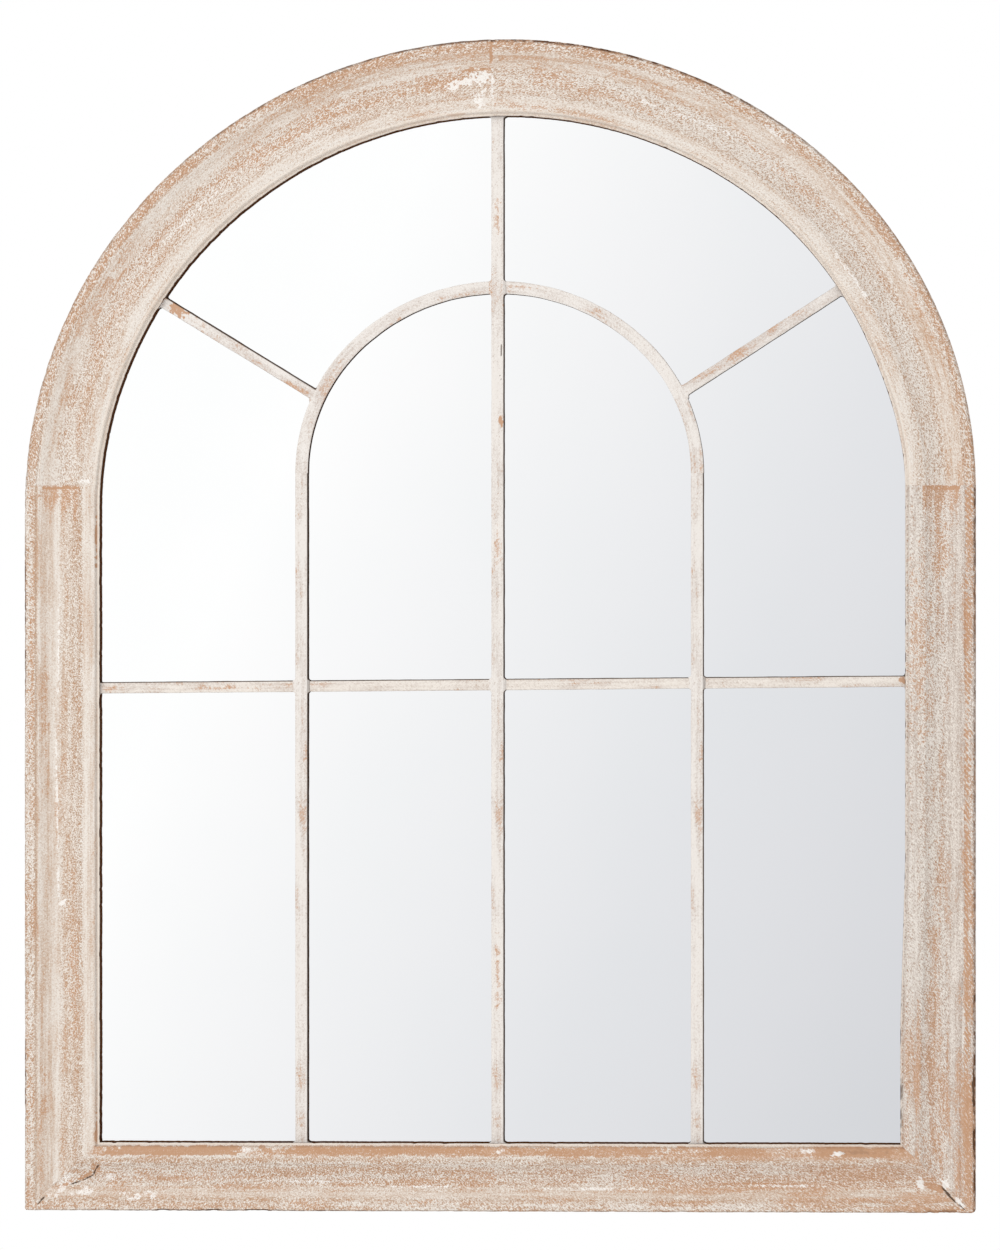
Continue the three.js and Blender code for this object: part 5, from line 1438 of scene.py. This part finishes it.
# %% Straps and rings
LOOP_Y = 18.3
STRAP_HALF = 7.0
SHEET = 1.1
STRAP_LENGTH = 34.0
WIRE = 1.5
RING_HALF = 10.5
RING_ARM = 7.0
RING_CORNER = 3.0
LAYER_LOW, LAYER_HIGH = 15.9, 17.1
SHEET_EASE = 0.4
LOOPS = {"left": (-341.086, 1), "right": (344.390, -1)}


def strap_grid(loop_x, way):
    """The strip's middle line: out along the frame, round the wire, and back on top, as one smooth line."""
    bend = LOOP_Y - LAYER_LOW
    turn = np.radians(np.linspace(-90, 190, 40))
    out = np.stack([np.linspace(-STRAP_LENGTH, -0.4, 18), np.full(18, LAYER_LOW)], axis=-1)
    loop = np.stack([bend * np.cos(turn), LOOP_Y + bend * np.sin(turn)], axis=-1)
    t = np.linspace(0, 1, 10)[1:, None]
    start, end, pull = loop[-1], np.array([-5.2, LAYER_HIGH]), np.array([-2.6, LAYER_HIGH])
    ease_down = start * (1 - t) ** 2 + 2 * pull * t * (1 - t) + end * t**2
    home = np.stack([np.linspace(-6.5, -STRAP_LENGTH, 16), np.full(16, LAYER_HIGH)], axis=-1)
    line = np.concatenate([out, loop, ease_down, home])
    travel = np.gradient(line, axis=0)
    travel /= np.linalg.norm(travel, axis=1)[:, None]
    normal = np.stack([-travel[:, 1], travel[:, 0]], axis=-1)
    edge, inner = SHEET / 2, STRAP_HALF - SHEET_EASE
    side = np.array([(-edge, -inner), (-edge * 0.6, -STRAP_HALF), (edge * 0.6, -STRAP_HALF), (edge, -inner),
                     (edge, 0), (edge, inner), (edge * 0.6, STRAP_HALF), (-edge * 0.6, STRAP_HALF),
                     (-edge, inner), (-edge, 0)])
    x = line[:, 0, None] + normal[:, 0, None] * side[None, :, 0]
    y = line[:, 1, None] + normal[:, 1, None] * side[None, :, 0]
    z = HANGER_HEIGHT + side[None, :, 1] + 0 * x
    return np.stack([loop_x + way * x, y, z], axis=-1)


def ring_grid(loop_x, way):
    """Round wire on the ring's line: at each place, a circle in the plane of the outward direction and Y."""
    bow_turn = np.linspace(-np.pi / 2, np.pi / 2, 60)
    bow = np.stack([RING_ARM + RING_HALF * np.cos(bow_turn), RING_HALF * np.sin(bow_turn)], axis=-1)
    corner_turn = np.linspace(np.pi / 2, np.pi, 14)
    upper = np.stack([RING_CORNER * (1 + np.cos(corner_turn)),
                      RING_HALF - RING_CORNER * (1 - np.sin(corner_turn))], axis=-1)
    lower = upper[::-1] * [1, -1]
    straight_end = RING_HALF - RING_CORNER
    straight = np.stack([np.zeros(8), np.linspace(straight_end, -straight_end, 10)[1:-1]], axis=-1)
    line = np.concatenate([bow, upper, straight, lower])
    travel = np.roll(line, -1, axis=0) - np.roll(line, 1, axis=0)
    travel /= np.linalg.norm(travel, axis=1)[:, None]
    outwards = np.stack([travel[:, 1], -travel[:, 0]], axis=-1)
    angle = np.linspace(0, 2 * np.pi, 20, endpoint=False)[None, :]
    x = line[:, 0, None] + WIRE * np.cos(angle) * outwards[:, 0, None]
    z = line[:, 1, None] + WIRE * np.cos(angle) * outwards[:, 1, None]
    return np.stack([loop_x + way * x, LOOP_Y + WIRE * np.sin(angle) + 0 * x, HANGER_HEIGHT + z], axis=-1)


for side, (loop_x, way) in LOOPS.items():
    grid_piece("folded_hanger_strap_" + side, strap_grid(loop_x, way), "frame",
               steel["sheet"], ("hanger_strap_" + side,))
    grid_piece("bent_hanger_ring_" + side, ring_grid(loop_x, way), "ring_" + side,
               steel["wire"], ("hanger_ring_" + side,), ring=True)
print("hangers:", len(LOOPS))

# %% [markdown]
# ## Rubber pads
# A pad is moulded and turned: a flat foot, a rounded rim, a shallow ring groove and a small dimple in its
# face. Its rows are rings, as for a screw.

# %% Rubber pads
PAD_SECTION = np.array([(0.1, 15.32), (4.0, 15.32), (7.6, 15.32), (7.95, 15.6), (8.0, 16.0), (8.0, 18.0),
                        (8.0, 19.8), (7.85, 20.4), (7.5, 20.9), (7.0, 21.18), (6.5, 21.28), (5.7, 21.28),
                        (5.4, 20.9), (4.9, 20.8), (4.5, 20.95), (4.3, 21.28), (3.0, 21.28), (1.8, 21.28),
                        (1.4, 20.8), (0.8, 20.5), (0.1, 20.5)])
PAD_HEIGHT = 80.0
PADS = {"left": -370.0, "right": 370.0}
angle = np.linspace(0, 2 * np.pi, 64, endpoint=False)[None, :]
for side, pad_x in PADS.items():
    reach, height = PAD_SECTION[:, 0, None], PAD_SECTION[:, 1, None] + 0 * angle
    grid = np.stack([pad_x + reach * np.cos(angle), height, PAD_HEIGHT + reach * np.sin(angle)], axis=-1)
    grid_piece("moulded_wall_pad_" + side, grid, "frame", rubber, ("wall_pad_" + side,))
print("pads:", len(PADS))
